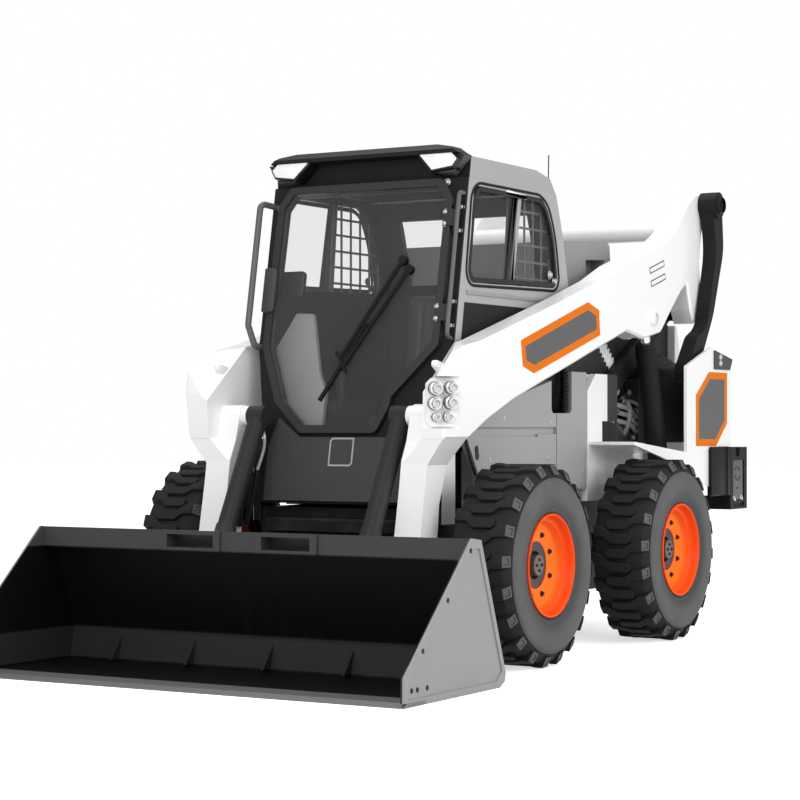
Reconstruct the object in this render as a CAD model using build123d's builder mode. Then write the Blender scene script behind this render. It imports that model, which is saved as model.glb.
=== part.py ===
"""Skid steer loader with vertical-path lift arms, a quick coupler and a digging bucket.

Millimetres. +X points forwards, +Y to the machine's left, +Z up. The ground is Z = 0 and the
origin lies under the middle of the machine's box. The arms are down and the bucket is flat.
"""
import os
from math import atan2, cos, degrees, hypot, pi

from build123d import *

# ------------------------------------------------------------------ driving dimensions
wheelbase = 1330.0
front_axle_x = 550.0
tyre_radius = 418.0
tyre_section = 290.0
tread_width = 226.0
wheel_mid_y = 765.0
rim_radius = 212.0
lug_count = 20                # on each half of a tyre; the halves are staggered
lug_height = 22.0
lug_width = 40.0              # at the middle of the tread
lug_end_width = 60.0          # at the shoulder
lug_sweep = 16.0              # how far a lug's outer end trails its inner end

cab_half_width = 485.0
cab_foot_half_width = 405.0
cab_wall = 40.0
cab_front_foot_x = 874.0      # where the front plane would meet the ground
cab_front_slope = 0.181       # the front plane leans back this much for each unit of height
cab_floor_z = 660.0
cab_top_z = 2035.0
cab_rear_x = -455.0
glass = 6.0
door_thickness = 30.0

arm_cab_gap = 33.0            # between the cab and the arms
arm_width = 110.0
leg_shift = 98.0              # the front legs stand this much closer to the middle
leg_width = 120.0

tie_down_radius = 18.0
seat_gap = 0.3                # between pieces that rest against each other
link_gap = 9.0                # side clearance between neighbouring layers of the linkage

bucket_half_width = 1027.0
bucket_plate = 10.0
edge_tip_x = 1968.0
edge_back_x = 1810.0
edge_plate = 16.0
rear_face_x = -1968.0

# pivots of the lift linkage, seen from the side as (x, z)
link_top = (-1690.0, 2092.0)      # rear link to arm
link_foot = (-1387.0, 1253.0)     # rear link to frame
stay_foot = (-842.0, 1117.0)      # control link to frame
stay_top = (-1613.0, 1560.0)      # control link to arm
lift_foot = (-1290.0, 720.0)      # lift cylinder to frame
lift_head = (-1080.0, 1500.0)     # lift cylinder rod to arm
tilt_head = (830.0, 1030.0)       # tilt cylinder to arm
tilt_foot = (1185.0, 345.0)       # tilt cylinder rod to coupler
hitch = (1130.0, 190.0)           # coupler to arm

# ------------------------------------------------------------------ derived places
arm_inner_y = cab_half_width + arm_cab_gap
arm_outer_y = arm_inner_y + arm_width
leg_inner_y = arm_inner_y - leg_shift
leg_outer_y = leg_inner_y + leg_width
rear_axle_x = front_axle_x - wheelbase
axle_z = tyre_radius
axle_places = [(front_axle_x, 1, "front_left"), (front_axle_x, -1, "front_right"),
               (rear_axle_x, 1, "rear_left"), (rear_axle_x, -1, "rear_right")]
hub_face_y = wheel_mid_y - 70.0

chassis_half_width = 420.0
chassis_top_z = 640.0
plate_outer_y = arm_inner_y - link_gap          # outer side of the frame's outer plates
plate_inner_y = plate_outer_y - 28.0
stay_outer_y = plate_inner_y - link_gap
stay_inner_y = stay_outer_y - 32.0
web_outer_y = stay_inner_y - link_gap           # outer side of the frame's inner plates
web_inner_y = web_outer_y - 20.0
link_inner_y = arm_outer_y + link_gap
link_outer_y = link_inner_y + 70.0
skin_inner_y = link_outer_y + 15.0              # rear side skins, outside the rear links
skin_outer_y = skin_inner_y + 15.0
arm_mid_y = (arm_inner_y + arm_outer_y) / 2
tilt_mid_y = leg_inner_y - 67.0


def front_x(z):
    """X of the cab's leaning front plane at a height."""
    return cab_front_foot_x - cab_front_slope * z


front_plane = Plane(origin=(cab_front_foot_x, 0, 0), x_dir=(0, 1, 0), z_dir=(1, 0, cab_front_slope))
front_stretch = hypot(1, cab_front_slope)


def on_front(points):
    """Points given as (y, z) in the front plane's own coordinates."""
    return [(y, z * front_stretch) for y, z in points]


def mirrored(points):
    """A closed outline from its left half, listed from the bottom up."""
    return points + [(-y, z) for y, z in reversed(points)]


def side_plane(y):
    """Sketch plane at a Y, with sketch x along X and sketch y along Z; extrude goes to the right."""
    return Plane.XZ.offset(-y)


def face(points, corner=0, mode=Mode.ADD):
    """Closed outline drawn into the sketch being built, with rounded corners if asked."""
    with BuildLine() as line:
        if corner:
            FilletPolyline(*points, radius=corner, close=True)
        else:
            Polyline(*points, close=True)
    make_face(line.edges(), mode=mode)


def write(piece, name):
    """Label a finished piece and write it."""
    piece.label = name
    export_step(piece, f"parts/{name}.step")


def plates(outlines, corner=0):
    """Left plates from (outline, outer y, inner y) with their mirror images, as one part."""
    with BuildPart() as piece:
        for outline, outer_y, inner_y in outlines:
            with BuildSketch(side_plane(outer_y)):
                face(outline, corner)
            extrude(amount=outer_y - inner_y)
        mirror(about=Plane.XZ)
    return piece.part


def boss(centre, radius, outer_y, inner_y):
    """Round boss across the machine at a pivot, on the left."""
    with BuildPart() as piece:
        with BuildSketch(side_plane(outer_y)):
            with Locations(centre):
                Circle(radius)
        extrude(amount=outer_y - inner_y)
    return piece.part


def link_body(start, end, start_radius, end_radius, outer_y, inner_y):
    """Straight link with round ends, on the left."""
    length = hypot(end[0] - start[0], end[1] - start[1])
    heading = degrees(atan2(end[1] - start[1], end[0] - start[0]))
    lean = (start_radius - end_radius) / length
    rise = (1 - lean * lean) ** 0.5
    near = (start_radius * lean, start_radius * rise)
    far = (length + end_radius * lean, end_radius * rise)
    with BuildPart() as piece:
        with BuildSketch(side_plane(outer_y)):
            with Locations(Location((start[0], start[1], 0), (0, 0, heading))):
                with BuildSketch(mode=Mode.PRIVATE) as outline:
                    with BuildLine():
                        Line(near, far)
                        ThreePointArc(far, (length + end_radius, 0), (far[0], -far[1]))
                        Line((far[0], -far[1]), (near[0], -near[1]))
                        ThreePointArc((near[0], -near[1]), (-start_radius, 0), near)
                    make_face()
                add(outline.sketch)
        extrude(amount=outer_y - inner_y)
    return piece.part


def rod_between(start, end, radius, mid_y):
    """Round bar between two (x, z) points in the vertical plane at mid_y."""
    length = hypot(end[0] - start[0], end[1] - start[1])
    with BuildPart() as piece:
        with BuildSketch(Plane(origin=(start[0], mid_y, start[1]), x_dir=(0, 1, 0),
                               z_dir=(end[0] - start[0], 0, end[1] - start[1]))):
            Circle(radius)
        extrude(amount=length)
    return piece.part


def part_way(start, end, distance):
    """Point at a distance from start towards end."""
    length = hypot(end[0] - start[0], end[1] - start[1])
    return (start[0] + (end[0] - start[0]) * distance / length,
            start[1] + (end[1] - start[1]) * distance / length)


def both_sides(pieces, cuts=()):
    """Fuse left-hand pieces, take away the cuts and add the mirror image."""
    with BuildPart() as whole:
        for piece in pieces:
            add(piece)
        for cut in cuts:
            add(cut, mode=Mode.SUBTRACT)
        mirror(about=Plane.XZ)
    return whole.part


os.makedirs("parts", exist_ok=True)


# ------------------------------------------------------------------ wheels
def turned(x, profile):
    """Solid of revolution about an axle, from its (y, radius) profile."""
    with BuildPart() as piece:
        with BuildSketch(Plane(origin=(x, 0, axle_z), x_dir=(0, 1, 0), z_dir=(1, 0, 0))):
            with BuildLine():
                Polyline(*profile, close=True)
            make_face()
        revolve(axis=Axis((x, 0, axle_z), (0, 1, 0)))
    return piece.part


lug_root = tyre_radius - lug_height
half_tread = tread_width / 2
half_section = tyre_section / 2
shoulder_radius = 346.0       # where the shoulder and the sidewall meet
lug_inner_y = -half_tread / 2
lug_trail = lug_end_width / 2 + lug_sweep
lug_top = (tyre_radius ** 2 - lug_trail ** 2) ** 0.5    # flat; its corners reach the full radius
carcass_sides = 2 * lug_count
corner_flat = cos(pi / carcass_sides)

# A lug of the left half, at the front of a tyre that lies on its right side.
with BuildPart() as lug:
    with BuildSketch(Plane.YZ.offset(shoulder_radius - 20)):
        face([(lug_width / 2, lug_inner_y), (lug_end_width / 2 - lug_sweep, half_section),
              (-lug_end_width / 2 - lug_sweep, half_section), (-lug_width / 2, lug_inner_y)])
    extrude(amount=lug_top - shoulder_radius + 20)
    with BuildSketch(Plane.XZ):
        face([(lug_root - 12, lug_inner_y), (lug_top, lug_inner_y), (lug_top, half_tread),
              (shoulder_radius - 6, half_section), (shoulder_radius - 6, half_section - 14),
              (lug_root - 12, half_tread - 14)])
    extrude(amount=2 * lug_end_width, both=True, mode=Mode.INTERSECT)

with BuildPart() as tyre:
    with BuildSketch():
        RegularPolygon(lug_root, carcass_sides, rotation=90 / lug_count)
    extrude(amount=half_tread)
    with BuildSketch(Plane.XY.offset(half_tread)):
        RegularPolygon(lug_root, carcass_sides, rotation=90 / lug_count)
    extrude(amount=half_section - half_tread,
            taper=degrees(atan2((lug_root - shoulder_radius) * corner_flat, half_section - half_tread)))
    mirror(about=Plane.XY)
    with BuildSketch(Plane.XY.offset(-half_section)):
        Circle(rim_radius)
    extrude(amount=tyre_section, mode=Mode.SUBTRACT)
    with PolarLocations(0, lug_count):
        add(lug.part)
    with PolarLocations(0, lug_count, start_angle=180 / lug_count):
        add(mirror(lug.part, about=Plane.XY, mode=Mode.PRIVATE))

# Rim section from its outer flange to its middle and back: across from the wheel's middle, radius.
rim_barrel = rim_radius - seat_gap
bead_y = 112.0
disc_y = 60.0                 # outer face of the disc
rim_section = [(-bead_y, rim_barrel), (bead_y, rim_barrel), (137, rim_radius - 4),
               (137, rim_radius - 12), (95, rim_radius - 24), (disc_y, 166), (disc_y - 3, 98),
               (disc_y - 7, 57), (disc_y - 30, 50), (disc_y + 17, 43), (disc_y + 17, 0),
               (hub_face_y - wheel_mid_y, 0), (hub_face_y - wheel_mid_y, 110),
               (disc_y - 16, 150), (-bead_y, rim_radius - 26)]

for axle_x, side, corner in axle_places:
    with BuildPart() as placed:
        with Locations(Location((axle_x, wheel_mid_y, axle_z), (-90, 0, 0))):
            add(tyre.part)
        if side < 0:
            mirror(about=Plane.XZ, mode=Mode.REPLACE)
    write(placed.part, f"tyre_{corner}")
    write(turned(axle_x, [(side * (wheel_mid_y + y), r) for y, r in rim_section]), f"rim_{corner}")

# ------------------------------------------------------------------ frame
with BuildPart() as axle_tubes:
    for axle_x, side, corner in axle_places:
        with BuildSketch(Plane.XZ.offset(-side * (hub_face_y - seat_gap))):
            with Locations((axle_x, axle_z)):
                Circle(66)
        extrude(amount=side * (hub_face_y - chassis_half_width - 2 * seat_gap))
write(axle_tubes.part, "axle_tubes")

chassis_front_x = 690.0
post_outline = [(590, chassis_top_z - 60), (590, 925), (665, 925), (700, 880), (700, chassis_top_z - 60)]
with BuildPart() as chassis:
    with BuildSketch(Plane.XZ):
        face([(chassis_front_x, 300), (640, 215), (-1150, 215), (-1640, 430), (-1740, 560),
              (-1740, chassis_top_z), (chassis_front_x, chassis_top_z)])
    extrude(amount=chassis_half_width, both=True)
    with BuildSketch(side_plane(470)):                  # the front posts, beside the cab's foot
        face(post_outline)
    extrude(amount=40)
    with BuildSketch(side_plane(432)):
        face([(590, 520), (590, chassis_top_z), (chassis_front_x, chassis_top_z), (chassis_front_x, 520)])
    extrude(amount=12)
    mirror(about=Plane.XZ)
write(chassis.part, "chassis")

# Dark apron across the chassis' front, with a bar and its brackets.
with BuildPart() as front_apron:
    with BuildSketch(Plane.YZ.offset(chassis_front_x + seat_gap)):
        with Locations((0, 470)):
            Rectangle(790, 330)
    extrude(amount=12)
    with BuildSketch(side_plane(330)):
        face([(chassis_front_x + 5, 600), (805, 600), (812, 590), (812, 545), (chassis_front_x + 5, 545)])
    extrude(amount=660)
    with BuildSketch(side_plane(330)):
        face([(chassis_front_x + 13, 583), (795, 583), (795, 520), (chassis_front_x + 13, 520)])
    extrude(amount=660, mode=Mode.SUBTRACT)
write(front_apron.part, "front_apron")

frame_foot_z = chassis_top_z + seat_gap
tower_front_x = -600.0
shelf_end_x = -1110.0         # the fender stops short of the lift cylinder
link_pin_radius = 27.0        # slim, so that the lift cylinder passes in front of it
side_frames = both_sides(
    [plates([([(tower_front_x, frame_foot_z), (tower_front_x, 1150), (-690, 1230), (-930, 1230),
               (-1010, 1150), (-1010, 900), (-1700, 900), (-1700, frame_foot_z)],
              web_outer_y, web_inner_y)]),
     plates([([(tower_front_x, frame_foot_z), (tower_front_x, 1150), (-690, 1230), (-930, 1230),
               (-930, 1010), (-760, 1010), (-760, 900), (-1231, 860), (-1231, 1276),
               (-1470, 1340), (-1740, 1270), (-1740, frame_foot_z)],
              plate_outer_y, plate_inner_y)]),
     plates([([(tower_front_x, frame_foot_z), (tower_front_x, 900), (-1700, 860),
               (-1700, frame_foot_z)], plate_inner_y, web_outer_y)]),
     plates([([(-1231, 933), (-1231, 1276), (-1543, 1377), (-1569, 1370), (-1569, 1268),
               (-1790, 1268), (-1790, 886), (-1745, 886), (-1745, 690), (-1290, 690), (-1231, 780)],
              skin_outer_y, skin_inner_y)]),
     plates([([(-1720, 700), (-1720, 1268), (-1790, 1268), (-1790, 886), (-1745, 886),
               (-1745, 700)], skin_inner_y, plate_outer_y)]),
     plates([([(-620, 915), (shelf_end_x, 870), (shelf_end_x, 856), (-620, 901)],
              skin_inner_y, plate_outer_y)]),
     plates([([(-620, 915), (-1240, 859), (-1240, 780), (-620, 901)], skin_outer_y, skin_inner_y)]),
     boss(link_foot, link_pin_radius, link_inner_y - link_gap, plate_outer_y)])
write(side_frames, "side_frames")

# Side panels: a front one with a recessed band and a rear one, with a slot for hoses between.
panel_joint_x = -280.0
with BuildPart() as side_panels:
    add(plates([
        ([(568, 912), (481, 789), (430, 700), (tower_front_x + 12, 700), (tower_front_x + 12, 1235),
          (-434, 1235), (-434, 1060), (-418, 1045), (-246, 1045), (-230, 1060), (-230, 1190),
          (60, 1130), (330, 1050), (520, 975), (565, 935)],
         plate_outer_y, cab_half_width + seat_gap),
        ([(420, frame_foot_z), (420, 880), (tower_front_x + 12, 880), (tower_front_x + 12, frame_foot_z)],
         cab_half_width + seat_gap, cab_foot_half_width + seat_gap)]))
    with BuildSketch(side_plane(plate_outer_y + 10)):
        with Locations((470, 860)):
            Circle(tie_down_radius)
    extrude(amount=2 * plate_outer_y + 20, mode=Mode.SUBTRACT)
    # (outline, depth) of the recesses in the outer faces
    for outline, depth in (([(panel_joint_x + 7, 951), (-94, 951), (-94, 940), (462, 940), (500, 982),
                             (panel_joint_x + 7, 982)], 12),
                           ([(panel_joint_x - 4, 690), (panel_joint_x + 4, 690), (panel_joint_x + 4, 1240),
                             (panel_joint_x - 4, 1240)], 4)):
        for turn in (1, -1):
            with BuildSketch(side_plane(turn * plate_outer_y)):
                face(outline)
            extrude(amount=turn * depth, mode=Mode.SUBTRACT)
write(side_panels.part, "side_panels")

block_front_x = -1745.3
block_height = 313.0
with BuildPart() as rear_bumper:
    with BuildSketch(side_plane(755)):
        face([(rear_face_x, 567), (block_front_x, 567), (block_front_x, 880), (-1815, 880), (-1826, 832),
              (-1862, 832), (-1873, 880), (rear_face_x, 880)])
    extrude(amount=125)
    for x, z, length, height in ((-1856, 715, 150, 200), (-1856, 592, 150, 20)):
        with BuildSketch(side_plane(755)):
            with Locations((x, z)):
                Rectangle(length, height)
        extrude(amount=8, mode=Mode.SUBTRACT)
    mirror(about=Plane.XZ)
    with Locations((-1790, 0, 600)):
        Box(88, 1270, 66)
write(rear_bumper.part, "rear_bumper")

tail_lamps = plates([([(-1569.3, 1268.3), (-1569.3, 1362), (-1800, 1322), (-1770, 1268.3)],
                      skin_outer_y + 8, skin_inner_y)])
write(tail_lamps, "tail_lamps")

# ------------------------------------------------------------------ engine
engine_top_z = 1230.0
engine_half_width = 280.0
gate_front_x = -1705.0
with BuildPart() as engine_block:
    with Locations((-1080, 0, (frame_foot_z + engine_top_z) / 2)):
        Box(760, 2 * engine_half_width, engine_top_z - frame_foot_z)
write(engine_block.part, "engine_block")

# What shows on the engine's left side: belt wheels, a pump, a filter and steel pipes.
fitting_y = engine_half_width + seat_gap
with BuildPart() as engine_fittings:
    # (x, z, radius, inner y, outer y) of the round pieces that point sideways
    for x, z, radius, inner_y, outer_y in (
            (-1177, 1160, 50, 352, 368), (-1177, 1160, 26, fitting_y, 376),
            (-1140, 1050, 52, fitting_y, 372), (-1140, 1050, 30, 370, 392),
            (-1330, 1120, 44, fitting_y, 384)):
        with BuildSketch(side_plane(outer_y)):
            with Locations((x, z)):
                Circle(radius)
        extrude(amount=outer_y - inner_y)
    with Locations((-1290, (fitting_y + 372) / 2, 960)):
        Box(150, 372 - fitting_y, 110)
    with BuildLine() as pipe_path:
        FilletPolyline((-1225, 350, 1000), (-1225, 350, 1078), (-1385, 350, 1035), (-1420, 350, 920), radius=28)
    with BuildSketch(Plane(origin=pipe_path.line @ 0, z_dir=pipe_path.line % 0)):
        Circle(13)
    sweep(path=pipe_path.line)
write(engine_fittings.part, "engine_fittings")

with BuildPart() as engine_hood:
    with BuildSketch(Plane.XZ):
        with BuildLine():
            Polyline((-475, engine_top_z + seat_gap), (-475, 1838), (-985, 1868), (-1010, 1850),
                     (-1020, 1765), (-1300, 1690), (-1370, 1560), (gate_front_x, 1500),
                     (gate_front_x, engine_top_z + seat_gap), close=True)
        make_face()
    extrude(amount=web_outer_y, both=True)
    for turn in (1, -1):                                # air openings high on both sides
        with BuildSketch(side_plane(turn * web_outer_y)):
            face([(-745, 1700), (-745, 1768), (-950, 1780), (-950, 1700)])
        extrude(amount=turn * 70, mode=Mode.SUBTRACT)
write(engine_hood.part, "engine_hood")

gate_rear_x = -1790.0
gate_half_width = 470.0
gate_hinge_y = -478.0
with BuildPart() as tailgate:
    with BuildSketch(Plane.XZ):
        with BuildLine():
            Polyline((gate_front_x - seat_gap, 700), (gate_front_x - seat_gap, 1495), (-1730, 1495),
                     (gate_rear_x, 1300), (gate_rear_x, 720), (-1770, 700), close=True)
        make_face()
    extrude(amount=gate_half_width, both=True)
    with Locations((gate_rear_x, 0, 1000)):             # recess with an air opening
        Box(24, 620, 300, mode=Mode.SUBTRACT)
    for z in (900, 950, 1000, 1050, 1100):              # bars across the air opening
        with Locations((gate_rear_x + 7, 0, z)):
            Box(10, 624, 22)
    for z in (830, 1200):                               # hinge barrels on the gate's right edge
        with BuildSketch(Plane.XY.offset(z)):
            with Locations((gate_rear_x, gate_hinge_y)):
                Circle(12)
        extrude(amount=70)
write(tailgate.part, "tailgate")

# ------------------------------------------------------------------ cab
cab_opening_top_z = cab_top_z - 30
cab_side = [(front_x(cab_floor_z), cab_floor_z), (front_x(cab_top_z), cab_top_z), (-325, cab_top_z),
            (-385, 1877), (cab_rear_x, 1612), (cab_rear_x, cab_floor_z)]
cab_front = mirrored([(cab_foot_half_width, cab_floor_z), (cab_foot_half_width, 900),
                      (cab_half_width, 1330), (cab_half_width, cab_top_z)])
door_opening = [(150, 975), (200, 1075), (205, 1115), (410, 1330), (415, cab_opening_top_z - 69),
                (368, cab_opening_top_z), (-368, cab_opening_top_z), (-415, cab_opening_top_z - 69),
                (-425, 1330), (-335, 1095), (-205, 975)]
side_opening = [(450, cab_opening_top_z), (-195, cab_opening_top_z), (-290, 1850), (-345, 1610), (515, 1590)]
window_corner = 48.0
door_corner = 16.0

with BuildPart() as cab_room:
    with BuildSketch(Plane.XZ):
        with BuildLine():
            Polyline(*cab_side, close=True)
        make_face()
        offset(amount=-cab_wall)
        with Locations((0, cab_top_z)):
            Rectangle(600, 3 * cab_wall)
    extrude(amount=cab_half_width, both=True)
    with BuildSketch(Plane.YZ):
        with BuildLine():
            Polyline(*cab_front, close=True)
        make_face()
        offset(amount=-cab_wall)
        with Locations((0, cab_top_z)):
            Rectangle(2 * (cab_half_width - cab_wall), 3 * cab_wall)
    extrude(amount=1000, both=True, mode=Mode.INTERSECT)

with BuildPart() as cab_shell:
    with BuildSketch(Plane.XZ):
        with BuildLine():
            Polyline(*cab_side, close=True)
        make_face()
    extrude(amount=cab_half_width, both=True)
    with BuildSketch(Plane.YZ):
        with BuildLine():
            Polyline(*cab_front, close=True)
        make_face()
    extrude(amount=1000, both=True, mode=Mode.INTERSECT)
    add(cab_room.part, mode=Mode.SUBTRACT)
    with BuildSketch(front_plane.offset(-80)):
        face(on_front(door_opening), door_corner)
    extrude(amount=160, mode=Mode.SUBTRACT)
    with BuildSketch(Plane.XZ):
        face(side_opening, window_corner)
    extrude(amount=600, both=True, mode=Mode.SUBTRACT)
    with BuildSketch(Plane.YZ.offset(-600)):
        with Locations((0, 1800)):
            Rectangle(680, 300)
    extrude(amount=400, mode=Mode.SUBTRACT)
write(cab_shell.part, "cab_shell")

with BuildPart() as side_windows:
    with BuildSketch(side_plane(cab_half_width - 14)):
        face(side_opening, window_corner)
        offset(amount=-seat_gap)
    extrude(amount=glass)
    mirror(about=Plane.XZ)
write(side_windows.part, "side_windows")

# Each side window has an upright between its panes and a square grid inside the rear one.
divider = [(40, 2100), (98, 1500), (126, 1500), (68, 2100)]
with BuildPart() as window_guards:
    for outer_y, depth in ((cab_half_width - 4, 10 - seat_gap), (cab_half_width - 14 - glass - 10, 10)):
        with BuildSketch(side_plane(outer_y)):
            face(side_opening, window_corner)
            offset(amount=-seat_gap)
            face(divider, mode=Mode.INTERSECT)
        extrude(amount=depth)
    with BuildSketch(side_plane(cab_half_width - 14 - glass - 10)):
        face(side_opening, window_corner)
        offset(amount=-seat_gap)
        face([(68, 2100), (126, 1500), (-500, 1500), (-500, 2100)], mode=Mode.INTERSECT)
        with Locations((-115, 1790)):
            with GridLocations(82, 74, 5, 6):
                Rectangle(72, 64, mode=Mode.SUBTRACT)
    extrude(amount=6)
    mirror(about=Plane.XZ)
write(window_guards.part, "window_guards")

with BuildPart() as rear_window:
    with BuildSketch(Plane.XZ):
        with BuildLine():
            Polyline((-338, 1949), (-366, 1877), (-425, 1651), (-425 + glass, 1651),
                     (-366 + glass, 1877), (-338 + glass, 1949), close=True)
        make_face()
    extrude(amount=340 - seat_gap, both=True)
write(rear_window.part, "rear_window")

roof_eave_z = cab_top_z + 90           # lower edge of the visor
roof_top_z = cab_top_z + 151
with BuildPart() as cab_roof:
    with BuildSketch(Plane.XZ):
        face([(front_x(roof_eave_z) - 2, cab_top_z + seat_gap), (front_x(roof_eave_z) - 2, roof_eave_z + 3),
              (front_x(cab_top_z) + 59, roof_eave_z + 9), (front_x(cab_top_z) + 66, roof_eave_z + 25),
              (front_x(cab_top_z) + 29, roof_top_z - 10), (200, roof_top_z), (-262, cab_top_z + 65),
              (-322, cab_top_z + seat_gap)])
    extrude(amount=cab_half_width, both=True)
    with BuildSketch(Plane.YZ):
        face(mirrored([(cab_half_width, cab_top_z), (cab_half_width, roof_eave_z), (430, roof_top_z - 24),
                       (300, roof_top_z)]))
    extrude(amount=1000, both=True, mode=Mode.INTERSECT)
    with Locations((75, 0, cab_top_z + 15)):
        Box(600, 780, 60, mode=Mode.SUBTRACT)
write(cab_roof.part, "cab_roof")

with BuildPart() as roof_lights:
    with BuildSketch(front_plane.offset(seat_gap)):
        face(on_front([(497, roof_eave_z - 2), (313, roof_eave_z - 2), (344, roof_eave_z - 77),
                       (433, roof_eave_z - 83)]))
    extrude(amount=48)
    with BuildSketch(front_plane.offset(seat_gap + 42)):
        face(on_front([(484, roof_eave_z - 12), (334, roof_eave_z - 12), (354, roof_eave_z - 67),
                       (428, roof_eave_z - 73)]))
    extrude(amount=20, mode=Mode.SUBTRACT)
    mirror(about=Plane.XZ)
write(roof_lights.part, "roof_lights")

with BuildPart() as front_panel:
    with BuildSketch(front_plane.offset(seat_gap)):
        with BuildLine():
            Polyline(*on_front(mirrored([(372, 668), (372, 905), (330, 1020), (215, 938)])), close=True)
        make_face()
    extrude(amount=18)
write(front_panel.part, "front_panel")

door_lap = 22.0
door_axis_y = 452.0
door_axis_ahead = 22.0        # of the front plane
hinge_radius = 9.0
hinge_places = (1455, 1855)   # heights of the hinges' middles
hinge_length = 36.0


def on_door_axis(z):
    """Plane across the door's hinge axis at a height along it."""
    foot = front_plane.offset(door_axis_ahead).origin + front_plane.y_dir * (z * front_stretch)
    return Plane(origin=(foot.X, door_axis_y, foot.Z), x_dir=(0, 1, 0), z_dir=front_plane.y_dir)


with BuildPart() as door_frame:
    with BuildSketch(front_plane.offset(seat_gap)):
        face(on_front(door_opening), door_corner)
        offset(amount=door_lap)
        with BuildSketch(mode=Mode.PRIVATE) as pane_hole:
            face(on_front(door_opening), door_corner)
            offset(amount=-12)
        add(pane_hole.sketch, mode=Mode.SUBTRACT)
    extrude(amount=door_thickness)
    for z in hinge_places:
        with BuildSketch(on_door_axis(z)):
            Circle(hinge_radius)
        extrude(amount=hinge_length, both=True)
        with BuildSketch(front_plane.offset(door_thickness - 3)):
            with Locations((door_axis_y - 26, z * front_stretch)):
                Rectangle(48, 2 * hinge_length)
        extrude(amount=9)
write(door_frame.part, "door_frame")

# The hinges' other halves: a leaf on the cab with a pin end above and below the door's barrel.
with BuildPart() as door_hinges:
    for z in hinge_places:
        with BuildSketch(front_plane.offset(seat_gap)):
            with Locations((door_axis_y + 12, z * front_stretch)):
                Rectangle(34, 4 * hinge_length)
        extrude(amount=7)
        for way in (1, -1):
            with BuildSketch(on_door_axis(z).offset(way * (hinge_length + 1))):
                Circle(hinge_radius)
                with Locations((0, door_axis_ahead / 2)):    # back to the leaf
                    Rectangle(12, door_axis_ahead - 2)
            extrude(amount=way * 22)
write(door_hinges.part, "door_hinges")

with BuildPart() as door_glass:
    with BuildSketch(front_plane.offset(seat_gap + door_thickness / 2)):
        face(on_front(door_opening), door_corner)
        offset(amount=-12 - seat_gap)
    extrude(amount=glass)
write(door_glass.part, "door_glass")

# Wiper: a spindle that stands on the pane, two arms and a blade, all parallel to the pane.
wiper_seat = seat_gap + door_thickness / 2 + glass + seat_gap
with BuildPart() as wiper:
    with BuildSketch(front_plane.offset(wiper_seat)):
        with Locations((229, 1680 * front_stretch), (262, 1640 * front_stretch)):
            Circle(20)
    extrude(amount=24)
    # (outline in y and z, start and depth ahead of the pane)
    for outline, start, depth in (
            ([(222, 1684), (236, 1678), (-34, 1262), (-46, 1268)], 16, 8),
            ([(256, 1644), (268, 1636), (-8, 1236), (-18, 1244)], 16, 8),
            ([(-56, 1300), (4, 1212), (-4, 1206), (-64, 1294)], 12, 12),
            ([(70, 1420), (84, 1414), (-118, 1086), (-132, 1094)], 4, 12)):
        with BuildSketch(front_plane.offset(wiper_seat + start)):
            face(on_front(outline))
        extrude(amount=depth)
write(wiper.part, "wiper")

seat_floor_z = cab_floor_z + cab_wall + seat_gap
with BuildPart() as seat:
    with BuildSketch(Plane.XZ):
        with BuildLine():
            Polyline((180, seat_floor_z), (180, 940), (230, 950), (230, 1040), (-60, 1030),
                     (-150, 1600), (-250, 1620), (-200, 950), (-200, seat_floor_z), close=True)
        make_face()
        fillet(vertices(), 20)
    extrude(amount=220, both=True)
write(seat.part, "seat")

controls = both_sides([
    plates([([(330, seat_floor_z), (330, 1060), (300, 1100), (20, 1100), (0, seat_floor_z)], 330, 260)]),
    rod_between((250, 1095), (270, 1230), 22, 295)])
write(controls, "controls")


def tube_loop(points, radius, bend):
    """Round bar bent along points, with arcs at its corners."""
    with BuildPart() as piece:
        with BuildLine() as path:
            FilletPolyline(*points, radius=bend)
        with BuildSketch(Plane(origin=path.line @ 0, z_dir=path.line % 0)):
            Circle(radius)
        sweep()
    return piece.part


def ahead(y, z, distance):
    """Point at a distance ahead of the cab's front plane."""
    return (front_x(z) + distance, y, z)


with BuildPart() as grab_handles:
    add(tube_loop([ahead(-467, 1950, 3), ahead(-490, 1962, 95), ahead(-490, 1425, 95),
                   ahead(-474, 1332, 50), ahead(-467, 1330, 3)], 14, 30))
    add(tube_loop([ahead(474, 1965, 3), ahead(484, 1965, 60), ahead(484, 1360, 60),
                   ahead(474, 1350, 3)], 9, 24))
write(grab_handles.part, "grab_handles")

# ------------------------------------------------------------------ lift linkage
arm_side = [(985, 1122), (971, 1220), (913, 1273), (780, 1315), (629, 1342), (463, 1386), (-95, 1535),
            (-500, 1651), (-714, 1733), (-1197, 1870), (-1328, 1934), (-1512, 2098), (-1600, 2145),
            (-1690, 2158), (-1752, 2120), (-1752, 2060), (-1700, 2026), (-1655, 1816), (-1675, 1560),
            (-1640, 1498), (-1580, 1498), (-1545, 1560), (-1500, 1690), (-1426, 1650), (-1315, 1560),
            (-1180, 1440), (-980, 1400), (-789, 1430), (354, 1101), (595, 1012), (762, 935), (960, 935)]
leg_side = [(784, 1040), (876, 1040), (905, 930), (948, 845), (965, 740), (1003, 549), (1060, 420),
            (1175, 255), (1188, 190), (1165, 135), (1095, 135), (960, 330), (888, 440), (862, 553),
            (850, 668), (782, 842)]
arm_chamfer = 10.0
tube_radius = 50.0
leg_tube_radius = 42.0
knuckle_front_x = 944.0       # of the sloping corner that carries the quick connectors
slot = plates([([(-1230, 1300), (-1230, 1612), (-950, 1612), (-950, 1300)],
                arm_mid_y + 27, arm_mid_y - 27)])
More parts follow.
